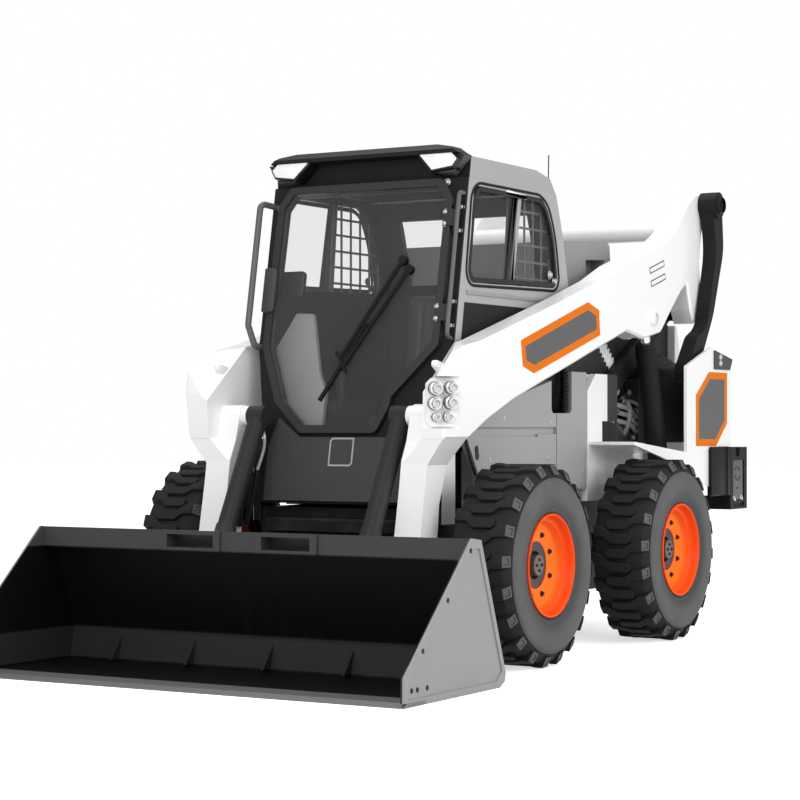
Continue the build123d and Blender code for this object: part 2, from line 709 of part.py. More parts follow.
with BuildPart() as arm_beam:
    with BuildSketch(side_plane(arm_outer_y)):
        face(arm_side)
    extrude(amount=arm_width)
    chamfer(arm_beam.faces().sort_by(Axis.Y)[-1].edges(), arm_chamfer)
    # the knuckle's inner corner is bevelled towards the cab
    split(bisect_by=Plane(origin=(780, arm_inner_y, 1256), z_dir=(0.47, -0.66, 0.587)), keep=Keep.BOTTOM)
with BuildPart() as arm_neck:
    for z, rear_x, front, outer_y, inner_y in ((936, 764, 958, arm_outer_y - arm_chamfer, arm_inner_y),
                                               (830, 786, 948, leg_outer_y, leg_inner_y)):
        with BuildSketch(Plane.XY.offset(z)):
            face([(rear_x, inner_y), (front, inner_y), (front, outer_y), (rear_x, outer_y)])
    loft(ruled=True)
with BuildPart() as arm_tubes:
    with BuildSketch(side_plane(arm_inner_y + 20)):
        with Locations((-1405, 1950)):
            Circle(tube_radius)
    extrude(amount=2 * (arm_inner_y + 20))
    with BuildSketch(side_plane(leg_inner_y + 20)):
        with Locations((945, 470)):
            Circle(leg_tube_radius)
    extrude(amount=2 * (leg_inner_y + 20))
with BuildPart() as lift_arm:
    add(both_sides(
        [arm_beam.part, arm_neck.part, plates([(leg_side, leg_outer_y, leg_inner_y)]),
         boss(hitch, 62, leg_outer_y, leg_inner_y), boss(tilt_head, 48, leg_outer_y, leg_inner_y),
         boss(tilt_head, 42, leg_inner_y + 1, tilt_mid_y + 40 + seat_gap), arm_tubes.part],
        [slot]))
    with BuildSketch(Plane.XY.offset(978)):
        face([(knuckle_front_x + 10, arm_inner_y - 10), (knuckle_front_x - arm_width - 10, arm_outer_y + 10),
              (1100, arm_outer_y + 10), (1100, arm_inner_y - 10)])
    extrude(amount=210, mode=Mode.SUBTRACT)
write(lift_arm.part, "lift_arm")

# Quick connectors on the left knuckle's sloping corner.
connector_plane = Plane(origin=(knuckle_front_x - arm_width / 2, arm_mid_y, 1083), x_dir=(-1, 1, 0),
                        z_dir=(1, 1, 0))
with BuildPart() as auxiliary_block:
    with BuildSketch(connector_plane.offset(seat_gap)):
        Rectangle(136, 196)
        chamfer(vertices(), 22)
    extrude(amount=14)
    # (across, up, radius, height) of each coupling
    for across, up, radius, height in ((-33, 56, 25, 46), (33, 60, 25, 46), (-36, -4, 25, 40), (31, 0, 25, 46),
                                       (-33, 56, 15, 60), (33, 60, 15, 60), (-36, -4, 15, 54),
                                       (31, 0, 15, 60), (-28, -60, 15, 36), (24, -58, 20, 34)):
        with BuildSketch(connector_plane):
            with Locations((across, up)):
                Circle(radius)
        extrude(amount=height)
    with BuildSketch(connector_plane.offset(-40)):
        Rectangle(150, 210)
    extrude(amount=40 + seat_gap, mode=Mode.SUBTRACT)
write(auxiliary_block.part, "auxiliary_block")

link_layer_foot = link_inner_y - link_gap + seat_gap
rear_links = both_sides([
    plates([([(-1755, 2080), (-1775, 1870), (-1640, 1540), (-1440, 1250),
              (-1340, 1205), (-1332, 1290), (-1440, 1425), (-1560, 1475), (-1685, 1860),
              (-1632, 2080)], link_outer_y, link_inner_y)],
           corner=(20, 220, 420, 60, 30, 30, 90, 120, 300, 20)),
    boss(link_top, 66, link_outer_y + 12, link_layer_foot),
    boss(link_foot, 55, skin_inner_y - seat_gap, link_layer_foot)])
write(rear_links, "rear_links")

control_links = both_sides([
    link_body(stay_foot, stay_top, 55, 48, stay_outer_y, stay_inner_y),
    boss(stay_foot, 45, plate_inner_y - seat_gap, web_outer_y + seat_gap),
    boss(stay_top, 45, arm_inner_y - seat_gap, stay_inner_y)])
write(control_links, "control_links")

# ------------------------------------------------------------------ cylinders
lift_barrel_end = part_way(lift_foot, lift_head, 690)
lift_cylinder_barrels = both_sides([
    rod_between(lift_foot, lift_barrel_end, 50, arm_mid_y),
    rod_between(part_way(lift_foot, lift_head, 610), part_way(lift_foot, lift_head, 660), 53, arm_mid_y),
    boss(lift_foot, 58, arm_mid_y + 45, plate_outer_y + seat_gap)])


def hollow(start, end, radius, mid_y):
    """Both barrels' bores, for taking away."""
    bore = rod_between(start, end, radius, mid_y)
    return both_sides([bore])


lift_rod_start = part_way(lift_foot, lift_head, 120)
with BuildPart() as lift_barrels:
    add(lift_cylinder_barrels)
    add(hollow(part_way(lift_foot, lift_head, 100), lift_barrel_end, 27.3, arm_mid_y), mode=Mode.SUBTRACT)
write(lift_barrels.part, "lift_cylinder_barrels")

lift_cylinder_rods = both_sides([
    rod_between(lift_rod_start, lift_head, 27, arm_mid_y),
    boss(lift_head, 50, arm_mid_y + 22, arm_mid_y - 22)])
write(lift_cylinder_rods, "lift_cylinder_rods")

tilt_barrel_end = part_way(tilt_head, tilt_foot, 560)
with BuildPart() as tilt_barrels:
    add(both_sides([
        rod_between(tilt_head, tilt_barrel_end, 40, tilt_mid_y),
        rod_between(part_way(tilt_head, tilt_foot, 520), tilt_barrel_end, 44, tilt_mid_y),
        boss(tilt_head, 43, tilt_mid_y + 40, tilt_mid_y - 40)]))
    add(hollow(part_way(tilt_head, tilt_foot, 80), tilt_barrel_end, 22.3, tilt_mid_y), mode=Mode.SUBTRACT)
write(tilt_barrels.part, "tilt_cylinder_barrels")

tilt_cylinder_rods = both_sides([
    rod_between(part_way(tilt_head, tilt_foot, 150), tilt_foot, 22, tilt_mid_y),
    boss(tilt_foot, 36, tilt_mid_y + 20, tilt_mid_y - 20)])
write(tilt_cylinder_rods, "tilt_cylinder_rods")

# ------------------------------------------------------------------ coupler and bucket
bucket_heel = (1205.0, 20.0)
bucket_top = (1392.0, 564.0)
back_slope = (bucket_top[0] - 1197.0) / (bucket_top[1] - 52.0)


def back_x(z):
    """X of the bucket's back plate at a height, on its rear side."""
    return 1197.0 + (z - 52.0) * back_slope


coupler_plate = 22.0
with BuildPart() as quick_coupler:
    with BuildSketch(side_plane(560)):
        with BuildLine():
            Polyline((back_x(110) - seat_gap, 110), (back_x(470) - seat_gap, 470),
                     (back_x(470) - coupler_plate, 470), (back_x(110) - coupler_plate, 110), close=True)
        make_face()
    extrude(amount=2 * 560)
    for y in (-160, 160):
        with Locations((1300, y, 300)):
            Box(260, 150, 200, mode=Mode.SUBTRACT)
ear_outline = [(back_x(120) - 10, 120), (back_x(420) - 10, 420), (1190, 400), (1145, 360),
               (1085, 215), (1095, 140), (1140, 130)]
coupler_ears = plates([(ear_outline, tilt_mid_y + 26 + 20, tilt_mid_y + 26),
                       (ear_outline, tilt_mid_y - 26, tilt_mid_y - 26 - 20)])
with BuildPart() as coupler:
    add(quick_coupler.part)
    add(coupler_ears)
    add(both_sides([boss(hitch, 45, leg_inner_y - seat_gap, tilt_mid_y + 26)]))
write(coupler.part, "quick_coupler")

rail_foot_z = 485.0
rail_front_x = back_x(rail_foot_z) + 85
side_bar = 5.0                # the front bars stand this proud of the side plates
cavity_half_width = bucket_half_width - side_bar - bucket_plate
rib_places = (-760, -380, 0, 380, 760)
with BuildPart() as bucket:
    with BuildSketch(side_plane(bucket_half_width)):
        face([(edge_back_x - seat_gap, 0), (1245, 0), bucket_heel, (1197, 52), bucket_top, (1462, 573),
              (1960, 105), (1962, edge_plate + seat_gap), (edge_back_x - seat_gap, edge_plate + seat_gap)])
    extrude(amount=2 * bucket_half_width)
    with BuildSketch(side_plane(cavity_half_width)):
        face([(2000, bucket_plate), (1279, bucket_plate), (1250, 130), (back_x(140) + bucket_plate, 140),
              (back_x(rail_foot_z) + bucket_plate, rail_foot_z), (rail_front_x, rail_foot_z + 2),
              (rail_front_x, 600), (2000, 600)])
    extrude(amount=2 * cavity_half_width, mode=Mode.SUBTRACT)
    for turn in (1, -1):                                # side plates behind the sloping front bars
        with BuildSketch(side_plane(turn * bucket_half_width)):
            face([(1270, 26), (1930, 26), (1930, 73), (1436, 536), (1405, 532), (1226, 62)])
        extrude(amount=turn * side_bar, mode=Mode.SUBTRACT)
    for y in rib_places:                                # short ribs on the heel
        with BuildSketch(side_plane(y + 6)):
            face([(1270, bucket_plate - 2), (1330, bucket_plate - 2), (1330, bucket_plate + 6), (1256, 110)])
        extrude(amount=12)
    for y in (-260, 196):                               # framed steps in the top rail
        with Locations((rail_front_x + 3, y, 530)):
            Box(18, 290, 82)
        with Locations((1400, y, 529)):
            Box(260, 226, 52, mode=Mode.SUBTRACT)
write(bucket.part, "bucket")

with BuildPart() as cutting_edge:
    with BuildSketch(side_plane(bucket_half_width)):
        with BuildLine():
            Polyline((edge_back_x, 0), (edge_tip_x, 0), (edge_tip_x, 4), (edge_tip_x - 30, edge_plate),
                     (edge_back_x, edge_plate), close=True)
        make_face()
    extrude(amount=2 * bucket_half_width)
write(cutting_edge.part, "cutting_edge")
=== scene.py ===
"""Looks of the skid steer loader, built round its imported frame. Metres, +X forwards, +Y left, +Z up."""
from contextlib import contextmanager
from math import hypot, pi, radians

import bpy
from mathutils import Matrix, Vector


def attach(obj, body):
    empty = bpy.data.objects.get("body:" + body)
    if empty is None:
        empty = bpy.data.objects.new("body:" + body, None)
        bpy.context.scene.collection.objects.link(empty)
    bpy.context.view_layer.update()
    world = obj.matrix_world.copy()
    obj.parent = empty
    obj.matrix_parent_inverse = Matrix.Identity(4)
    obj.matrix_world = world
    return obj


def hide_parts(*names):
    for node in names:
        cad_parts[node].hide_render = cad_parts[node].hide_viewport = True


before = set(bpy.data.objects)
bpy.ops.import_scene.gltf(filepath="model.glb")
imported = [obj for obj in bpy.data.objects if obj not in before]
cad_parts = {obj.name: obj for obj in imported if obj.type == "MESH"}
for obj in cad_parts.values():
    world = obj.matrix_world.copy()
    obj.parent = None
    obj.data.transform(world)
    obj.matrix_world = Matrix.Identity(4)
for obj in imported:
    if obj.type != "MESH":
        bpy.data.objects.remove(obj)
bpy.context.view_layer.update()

bpy.ops.object.select_all(action="DESELECT")

# ---------------------------------------------------------------------------- camera
# A long lens stands low off the front left corner of the machine, a little above wheel height,
# so that the bucket, the cab's front and the left side show together.
camera_place = Vector((8.565, 4.896, 0.995))
camera_look = Vector((-0.864, -0.503, 0.005))
bpy.ops.object.camera_add(location=camera_place, rotation=camera_look.to_track_quat("-Z", "Y").to_euler())
camera = bpy.context.object
camera.data.lens = 98.5
camera.data.shift_x = -0.0127
camera.data.shift_y = 0.0167
bpy.context.scene.camera = camera
bpy.context.scene.view_settings.view_transform = "Standard"


# ---------------------------------------------------------------------------- finishes
# Every surface is a procedural finish. A Wire is one output in a material's nodes, and sums and
# products written with it add the nodes that work them out.
class Wire:
    """One output of a finish; arithmetic on it adds Math nodes."""

    def __init__(self, finish, socket):
        self.finish = finish
        self.socket = socket

    def maths(self, operation, first, second=0.0):
        return self.finish.node("ShaderNodeMath", {"operation": operation}, [first, second])

    def __add__(self, other):
        return self.maths("ADD", self, other)

    __radd__ = __add__

    def __sub__(self, other):
        return self.maths("SUBTRACT", self, other)

    def __rsub__(self, other):
        return self.maths("SUBTRACT", other, self)

    def __mul__(self, other):
        return self.maths("MULTIPLY", self, other)

    __rmul__ = __mul__

    def __pow__(self, other):
        return self.maths("POWER", self, other)

    def __abs__(self):
        return self.maths("ABSOLUTE", self)

    def step(self, start, end):
        """0 before start, 1 past end and smooth between."""
        return self.finish.node("ShaderNodeMapRange", {"interpolation_type": "SMOOTHSTEP"},
                                {"Value": self, "From Min": start, "From Max": end})


class Finish:
    """A material whose nodes are added by node() and whose shader is set by shade()."""

    def __init__(self, name):
        self.material = bpy.data.materials.new(name)
        self.material.use_nodes = True
        self.tree = self.material.node_tree
        self.shader = self.tree.nodes["Principled BSDF"]
        self.place = self.node("ShaderNodeTexCoord", output="Object")
        axes = self.node("ShaderNodeSeparateXYZ", inputs=[self.place], output=None)
        self.x, self.y, self.z = [Wire(self, axes.outputs[i]) for i in range(3)]

    def link(self, value, socket):
        if isinstance(value, Wire):
            self.tree.links.new(value.socket, socket)
        else:
            socket.default_value = value

    def node(self, kind, settings=None, inputs=(), output=0):
        added = self.tree.nodes.new(kind)
        for setting, value in (settings or {}).items():
            setattr(added, setting, value)
        named = inputs.items() if isinstance(inputs, dict) else enumerate(inputs)
        for socket, value in named:
            self.link(value, added.inputs[socket])
        return added if output is None else Wire(self, added.outputs[output])

    def noise(self, scale, detail=3.0, roughness=0.55, stretch=(1, 1, 1)):
        """Noise from 0 to 1 on the object's own coordinates."""
        place = self.node("ShaderNodeMapping", {}, {"Vector": self.place, "Scale": stretch})
        return self.node("ShaderNodeTexNoise", {},
                         {"Vector": place, "Scale": scale, "Detail": detail, "Roughness": roughness},
                         output="Fac")

    def mix(self, factor, first, second):
        """Colour between two colours."""
        return self.node("ShaderNodeMix", {"data_type": "RGBA"}, {0: factor, 6: first, 7: second}, output=2)

    def bump(self, height, distance=0.001, strength=1.0):
        return self.node("ShaderNodeBump", {}, {"Height": height, "Distance": distance, "Strength": strength})

    def shade(self, **values):
        for name, value in values.items():
            self.link(value, self.shader.inputs[name.replace("_", " ")])
        return self.material


def rgb(red, green, blue):
    return (red, green, blue, 1.0)


def dress(material, slot, *nodes):
    """Give CAD nodes a finish."""
    for name in nodes:
        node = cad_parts[name]
        node.data.materials.clear()
        node.data.materials.append(material)


# ---------------------------------------------------------------------------- floor and light
# A seamless white studio: one large floor, a bright even sky for what shows and reflects, a broad
# soft light on the machine's left and front and a weaker one over the top.
bpy.ops.mesh.primitive_plane_add(size=80, location=(0, 0, -0.001))
floor = bpy.context.object
floor.name = "studio_floor"
ground = Finish("studio_ground")
rays = ground.node("ShaderNodeLightPath", output=None)
seen = Wire(ground, rays.outputs["Is Camera Ray"])
for kind in ("Is Glossy Ray", "Is Transmission Ray"):
    seen = seen.maths("MAXIMUM", seen, Wire(ground, rays.outputs[kind]))
diffuse = ground.node("ShaderNodeBsdfDiffuse", {}, {"Color": rgb(0.94, 0.94, 0.94)})
glow = ground.node("ShaderNodeEmission", {}, {"Color": rgb(1, 1, 1), "Strength": 0.62})
plain = ground.node("ShaderNodeBsdfDiffuse", {}, {"Color": rgb(0.62, 0.62, 0.62)})
bright = ground.node("ShaderNodeAddShader", {}, [diffuse, glow])
blend = ground.node("ShaderNodeMixShader", {}, [seen, plain, bright])
ground.tree.links.new(blend.socket, ground.tree.nodes["Material Output"].inputs["Surface"])
floor.data.materials.append(ground.material)

sky = bpy.data.worlds.new("studio_sky")
sky.use_nodes = True
bpy.context.scene.world = sky
tree = sky.node_tree
path = tree.nodes.new("ShaderNodeLightPath")
seen_sky = tree.nodes.new("ShaderNodeMath")
seen_sky.operation = "MAXIMUM"
tree.links.new(path.outputs["Is Camera Ray"], seen_sky.inputs[0])
tree.links.new(path.outputs["Is Transmission Ray"], seen_sky.inputs[1])
level = tree.nodes.new("ShaderNodeMapRange")
level.inputs["To Min"].default_value = 0.60
level.inputs["To Max"].default_value = 1.0
tree.links.new(seen_sky.outputs[0], level.inputs["Value"])
tree.links.new(level.outputs[0], tree.nodes["Background"].inputs["Strength"])
tree.nodes["Background"].inputs["Color"].default_value = rgb(1, 1, 1)

for place, aim, size, power in (((-0.2, 7.0, 3.4), (-0.4, 0, 0.9), (8.0, 4.0), 300),
                                ((6.5, 1.5, 3.6), (0.2, 0, 0.9), (3.5, 3.5), 215),
                                ((-0.5, -0.5, 6.5), (-0.2, 0, 0.5), (5.0, 5.0), 210)):
    bpy.ops.object.light_add(type="AREA", location=place)
    lamp = bpy.context.object
    lamp.rotation_euler = (Vector(aim) - Vector(place)).to_track_quat("-Z", "Y").to_euler()
    lamp.data.shape = "RECTANGLE"
    lamp.data.size, lamp.data.size_y = size
    lamp.data.energy = power
bpy.ops.object.select_all(action="DESELECT")


# ---------------------------------------------------------------------------- painted bodywork
# The arms and the frame are gloss white, the side panels satin grey, and the links, cylinders and bumper
# satin black, all sprayed over primed steel. The hood's grey is the panels' grey darkened as painted shade.
def orange_peel(paint):
    return paint.bump(paint.noise(420, 2), 0.0003, 0.25)


def enamel(name, colour, dark, roughness, coat=0.0, gloss=0.5):
    """Sprayed machine enamel: orange peel, slight cloudiness, and dust that settles low down."""
    paint = Finish(name)
    cloud = paint.noise(2.3, 4)
    dust = (1 - paint.z.step(0.05, 0.9)) * paint.noise(6.0, 5).step(0.45, 0.75)
    body = paint.mix(cloud * 0.35, colour, dark)
    return paint.shade(Base_Color=paint.mix(dust * 0.12, body, rgb(0.32, 0.29, 0.25)),
                       Roughness=roughness + 0.10 * cloud + 0.15 * dust, Coat_Weight=coat, Coat_Roughness=0.12,
                       Specular_IOR_Level=gloss, Normal=orange_peel(paint))


def part_painted(paint, where, under, colours, roughness, smoother=0.0, share=0.4, cloudy=0.1, gloss=0.3,
                 top=None, **coat):
    """Two near colours where a mask is 1 over a dark ground, partly painted shade; top is a mask and painted light.
    """
    cloud = paint.noise(2.3, 4)
    colour = paint.mix(cloud * share, *colours)
    if top:
        colour = paint.mix(top[0], colour, top[1])
    return paint.shade(Base_Color=paint.mix(where, under, colour),
                       Roughness=roughness - smoother * where + cloudy * cloud,
                       Specular_IOR_Level=gloss, Normal=orange_peel(paint), **coat)


whites = rgb(0.84, 0.85, 0.85), rgb(0.78, 0.79, 0.79)
# The hood's greys are a darker copy of the side panels' grey: painted shade.
hood_greys_shaded = rgb(0.245, 0.25, 0.255), rgb(0.21, 0.215, 0.22)
white = enamel("white_enamel", *whites, 0.28, coat=0.5)
grey = enamel("grey_enamel", rgb(0.32, 0.325, 0.33), rgb(0.28, 0.285, 0.29), 0.42, coat=0.1, gloss=0.4)
hood_grey_shaded = enamel("hood_enamel_shaded", *hood_greys_shaded, 0.42, coat=0.1, gloss=0.4)
black = enamel("black_enamel", rgb(0.009, 0.0095, 0.0105), rgb(0.006, 0.0065, 0.0075), 0.50, gloss=0.12)
handle_grey = enamel("handle_enamel", rgb(0.085, 0.087, 0.090), rgb(0.065, 0.067, 0.070), 0.38, gloss=0.4)
cylinder_grey = enamel("cylinder_enamel", rgb(0.020, 0.021, 0.022), rgb(0.015, 0.0155, 0.017), 0.45, gloss=0.2)
guard_grey = enamel("guard_enamel", rgb(0.10, 0.102, 0.105), rgb(0.08, 0.082, 0.085), 0.45, gloss=0.3)
dress(white, "white_paint", "tailgate", "lift_arm", "auxiliary_block")
dress(grey, "grey_paint", "side_panels")
dress(handle_grey, "dark_paint", "grab_handles")
dress(cylinder_grey, "dark_paint", "tilt_cylinder_barrels", "quick_coupler")
dress(guard_grey, "dark_paint", "window_guards")
dress(black, "dark_paint", "axle_tubes", "rear_bumper", "rear_links", "control_links", "lift_cylinder_barrels",
      "front_apron", "door_hinges", "wiper")

# ---------------------------------------------------------------------------- hood, chassis, frame
# The hood is grey above the arms and black below them, the black being painted shade of the engine bay.
# The chassis is white on its outer sides only and dark elsewhere, and the frame is white except where it
# faces the engine bay; the dark parts of both are painted shade between and behind other parts.
# Below the arms the hood is black: painted shade of the engine bay behind it.
hood = Finish("hood_paint_shaded")
dress(part_painted(hood, hood.z.step(1.500, 1.504), rgb(0.012, 0.0125, 0.013), hood_greys_shaded, 0.50, 0.08),
      "grey_paint", "engine_hood")
# Dark except on its outer sides: painted shade where the chassis sits between other parts.
chassis = Finish("chassis_enamel_shaded")
dress(part_painted(chassis, abs(chassis.y).step(0.466, 0.469), rgb(0.010, 0.0105, 0.011), whites, 0.50, 0.2,
                   share=0.35), "white_paint", "chassis")
sides = Finish("frame_enamel")
# Black where the frame faces the engine bay: painted shade of the bay.
bay = ((1 - sides.x.step(-0.819, -0.815)) * (1 - abs(sides.y).step(0.700, 0.704))
       * sides.z.step(0.902, 0.906))
dress(part_painted(sides, 1 - bay, rgb(0.014, 0.0145, 0.015), whites, 0.53, 0.25, share=0.35, gloss=0.5,
                   Coat_Weight=0.5 * (1 - bay), Coat_Roughness=0.12), "white_paint", "side_frames")

# ---------------------------------------------------------------------------- cab
# The welded cab is grey on its sides, with a black front and inside; the black panel under each side
# window is painted shade between the arm and the cab. The roof is grey behind its gloss black visor,
# and lighter on top as painted light.
cab_half_width = 0.485
cab_front_slope = 0.181


def cab_front_x(z):
    """X of the cab's front plane at a height."""
    return 0.874 - cab_front_slope * z


def behind_front(paint):
    """Distance behind the cab's front plane along X."""
    return cab_front_x(0) - (paint.x + paint.z * cab_front_slope)


shell = Finish("cab_enamel")
gap = behind_front(shell)
outside = abs(shell.y).step(cab_half_width - 0.004, cab_half_width - 0.002) * gap.step(0.0115, 0.0125)
# Under each side window the cab is black: painted shade between the arm and the cab.
lower_side_shade = (1 - shell.z.step(1.505, 1.509)) * gap.step(0.062, 0.064)
light_paint = outside * (1 - lower_side_shade)
dress(part_painted(shell, light_paint, rgb(0.009, 0.0095, 0.010), (rgb(0.35, 0.355, 0.36), rgb(0.31, 0.315, 0.32)),
                   0.65, 0.23, cloudy=0.08, gloss=0.2, Coat_Weight=0.1 * light_paint), "grey_paint", "cab_shell")
roof = Finish("roof_paint")
roof_side = abs(roof.y).step(0.4828, 0.4838)
above_ceiling = roof.z.step(2.084, 2.088)
rear_slope = 1 - roof.x.step(-0.235, -0.232)
cover = roof_side + above_ceiling + rear_slope
painted = behind_front(roof).step(0.012, 0.016) * cover.maths("MINIMUM", cover, 1)
# Off its sides the painted roof is a lighter grey: painted light on its top.
dress(part_painted(roof, painted, rgb(0.006, 0.0065, 0.007), (rgb(0.34, 0.345, 0.35), rgb(0.30, 0.305, 0.31)),
                   0.45, cloudy=0.08, gloss=0.15, top=(1 - roof_side, rgb(0.68, 0.685, 0.69))),
      "grey_paint", "cab_roof")


# ---------------------------------------------------------------------------- plastic and glass
# The cab's front is grained plastic, the seat vinyl, and the panes clear with a slight haze. The
# engine is cast iron, its fittings are plated, and the cylinders' rods are hard chrome.
def moulded(name, colour, roughness, grain, metallic=0.0, gloss=0.5):
    """Plastic, rubber, cast or plated surface: slightly clouded, with a fine grain."""
    plastic = Finish(name)
    return plastic.shade(
        Base_Color=plastic.mix(plastic.noise(3.0, 4), colour, rgb(*[c * 0.8 for c in colour[:3]])),
        Roughness=roughness + 0.08 * plastic.noise(9.0), Metallic=metallic, Specular_IOR_Level=gloss,
        Normal=plastic.bump(plastic.noise(900, 2), grain, 0.3))


cab_plastic = moulded("cab_plastic", rgb(0.040, 0.041, 0.043), 0.5, 0.0004, gloss=0.4)
vinyl = moulded("seat_vinyl", rgb(0.03, 0.03, 0.032), 0.55, 0.0006)
iron = moulded("cast_iron", rgb(0.10, 0.10, 0.102), 0.6, 0.0008, 0.3)
silver = moulded("plated_steel", rgb(0.62, 0.62, 0.63), 0.3, 0.0002, 0.8)
steel = moulded("worn_steel", rgb(0.16, 0.16, 0.165), 0.45, 0.0004, 0.6)
chrome = moulded("hard_chrome", rgb(0.75, 0.75, 0.75), 0.12, 0.0, 1.0)
tint = Finish("window_glass")
pane = tint.shade(Base_Color=rgb(0.30, 0.31, 0.32), Roughness=0.04, Alpha=0.060 + 0.02 * tint.noise(1.5),
                  Specular_IOR_Level=0.4)
door_plastic = moulded("door_plastic", rgb(0.022, 0.0225, 0.024), 0.5, 0.0004, gloss=0.35)
dress(cab_plastic, "cab_plastic", "front_panel", "controls")
dress(cab_plastic, "lamp_plastic", "roof_lights", "tail_lamps")
dress(door_plastic, "cab_plastic", "door_frame")
dress(vinyl, "seat_vinyl", "seat")
dress(iron, "iron", "engine_block")
dress(silver, "edge_steel", "engine_fittings")
dress(steel, "edge_steel", "cutting_edge")
dress(chrome, "chrome_rod", "lift_cylinder_rods", "tilt_cylinder_rods")
dress(pane, "window_glass", "side_windows", "rear_window", "door_glass")

# ---------------------------------------------------------------------------- wheels
# Each wheel is a heavy ribbed tyre on a painted steel rim with a bolted hub. The carcass is spun
# round the axle; one bent lug is cut, pressed with its shoulder pad and copied round both halves.
axle_z = 0.418
axles = {"front": 0.550, "rear": -0.780}
wheel_middle_y = 0.765
tyre_radius = 0.418
lug_root = 0.396
half_tread = 0.113
half_section = 0.145
lug_count = 20


@contextmanager
def edit_mode(action="SELECT"):
    """Edit mode on the active piece, after selecting all, nothing, or what was selected if None."""
    bpy.ops.object.mode_set(mode="EDIT")
    if action:
        bpy.ops.mesh.select_all(action=action)
    yield
    bpy.ops.object.mode_set(mode="OBJECT")


def pick_face(piece, rank):
    """Leave only the face that ranks highest selected."""
    with edit_mode("DESELECT"):
        pass
    max(piece.data.polygons, key=rank).select = True


def outlined(name, corners):
    """Flat face with the given corners, anticlockwise as seen from in front of it."""
    bpy.ops.mesh.primitive_circle_add(vertices=len(corners), fill_type="NGON")
    piece = bpy.context.object
    piece.name = name
    for vertex, corner in zip(piece.data.vertices, corners):
        vertex.co = corner
    return piece


def worked(piece, kind, **settings):
    """Add a modifier and apply it."""
    bpy.context.view_layer.objects.active = piece
    modifier = piece.modifiers.new(kind.lower(), kind)
    for setting, value in settings.items():
        setattr(modifier, setting, value)
    bpy.ops.object.modifier_apply(modifier=modifier.name)
    return piece


def bevelled(piece, width, segments=1, angle=30):
    """Round the edges that turn by more than an angle."""
    return worked(piece, "BEVEL", width=width, segments=segments, limit_method="ANGLE", angle_limit=radians(angle))


def slab(name, corners, depth, bevel=0.0):
    """Plate that lies behind a flat outline, with rounded edges."""
    piece = worked(outlined(name, corners), "SOLIDIFY", thickness=depth, offset=-1)
    return bevelled(piece, bevel, 2) if bevel else piece


def only(*pieces):
    """Select these pieces alone, with the first one active."""
    bpy.ops.object.select_all(action="DESELECT")
    for piece in pieces:
        piece.select_set(True)
    bpy.context.view_layer.objects.active = pieces[0]


def finished(piece, body, slot, *materials, smooth=35, both=False):
    """Put the place in the mesh, mirror it if asked, smooth it, give it its finish and let it ride."""
    only(piece)
    bpy.ops.object.transform_apply(location=True, rotation=True, scale=True)
    if both:
        worked(piece, "MIRROR", use_axis=(False, True, False), use_mirror_merge=False)
    bpy.ops.object.shade_smooth_by_angle(angle=radians(smooth))
    if not piece.data.materials:
        for material in materials:
            piece.data.materials.append(material)
    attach(piece, body)
    piece.select_set(False)
    return piece


def two_finishes(piece, first, second, is_second):
    """Give a piece one finish, and another on the faces that a test picks."""
    piece.data.materials.append(first)
    piece.data.materials.append(second)
    for face in piece.data.polygons:
        face.material_index = int(is_second(face))


def joined(name, pieces):
    """One piece out of several."""
    only(*pieces)
    if len(pieces) > 1:
        bpy.ops.object.join()
    pieces[0].name = name
    bpy.ops.object.select_all(action="DESELECT")
    return pieces[0]


def placed(model, place):
    """Copy of a model moved by a placing matrix."""
    copy = model.copy()
    copy.data = model.data.copy()
    bpy.context.collection.objects.link(copy)
    copy.data.transform(place @ model.matrix_world)
    copy.matrix_world = Matrix()
    if place.determinant() < 0:
        copy.data.flip_normals()
    return copy


def copies(name, model, places):
    """Copies of a model at each placing matrix, as one piece; the model itself goes."""
    made = [placed(model, place) for place in places]
    bpy.data.objects.remove(model)
    return joined(name, made)


def spun(name, outline, sides=96, centre=(0, 0, 0), axis=(0, 1, 0)):
    """Ring spun about an axis, across the machine or upright, from its (along, radius) outline."""
    x, y, z = centre
    if axis[1]:
        corners = [(x + radius, y + across, z) for across, radius in outline]
    else:
        corners = [(x + radius, y, z + across) for across, radius in outline]
    piece = outlined(name, corners)
    with edit_mode():
        bpy.ops.mesh.delete(type="ONLY_FACE")
        bpy.ops.mesh.select_all(action="SELECT")
        bpy.ops.mesh.spin(steps=sides, angle=2 * pi, center=centre, axis=axis)
        bpy.ops.mesh.select_all(action="SELECT")
        bpy.ops.mesh.remove_doubles(threshold=0.00005)
        bpy.ops.mesh.normals_make_consistent(inside=False)
    return piece


def about_axle(angle):
    """Turn about a line across the machine."""
    return Matrix.Rotation(angle, 4, "Y")


left = (0, 1, 0)
across_axle = Matrix.Scale(-1, 4, left)
tread_rubber = moulded("tread_rubber", rgb(0.018, 0.018, 0.019), 0.70, 0.0007, gloss=0.15)
sidewall = Finish("sidewall_rubber")
wall_cloud = sidewall.noise(7.0, 4)
from_front, from_rear = [((sidewall.x - x) ** 2 + (sidewall.z - axle_z) ** 2) ** 0.5 for x in axles.values()]
from_axle = from_front.maths("MINIMUM", from_front, from_rear)
# The sidewall darkens towards the rim: painted shade near the bead.
shade_by_rim = (1 - from_axle.step(0.236, 0.300)) * 0.6 + (1 - from_axle.step(0.223, 0.225)) * 0.35
outer_wall = sidewall.mix(wall_cloud.step(0.3, 0.7), rgb(0.066, 0.067, 0.068), rgb(0.088, 0.089, 0.090))
side_rubber = sidewall.shade(
    Base_Color=sidewall.mix(shade_by_rim, outer_wall, rgb(0.022, 0.022, 0.023)),
    Roughness=0.60 + 0.1 * wall_cloud, Specular_IOR_Level=0.3,
    Normal=sidewall.bump(sidewall.noise(500, 2), 0.0004, 0.3))

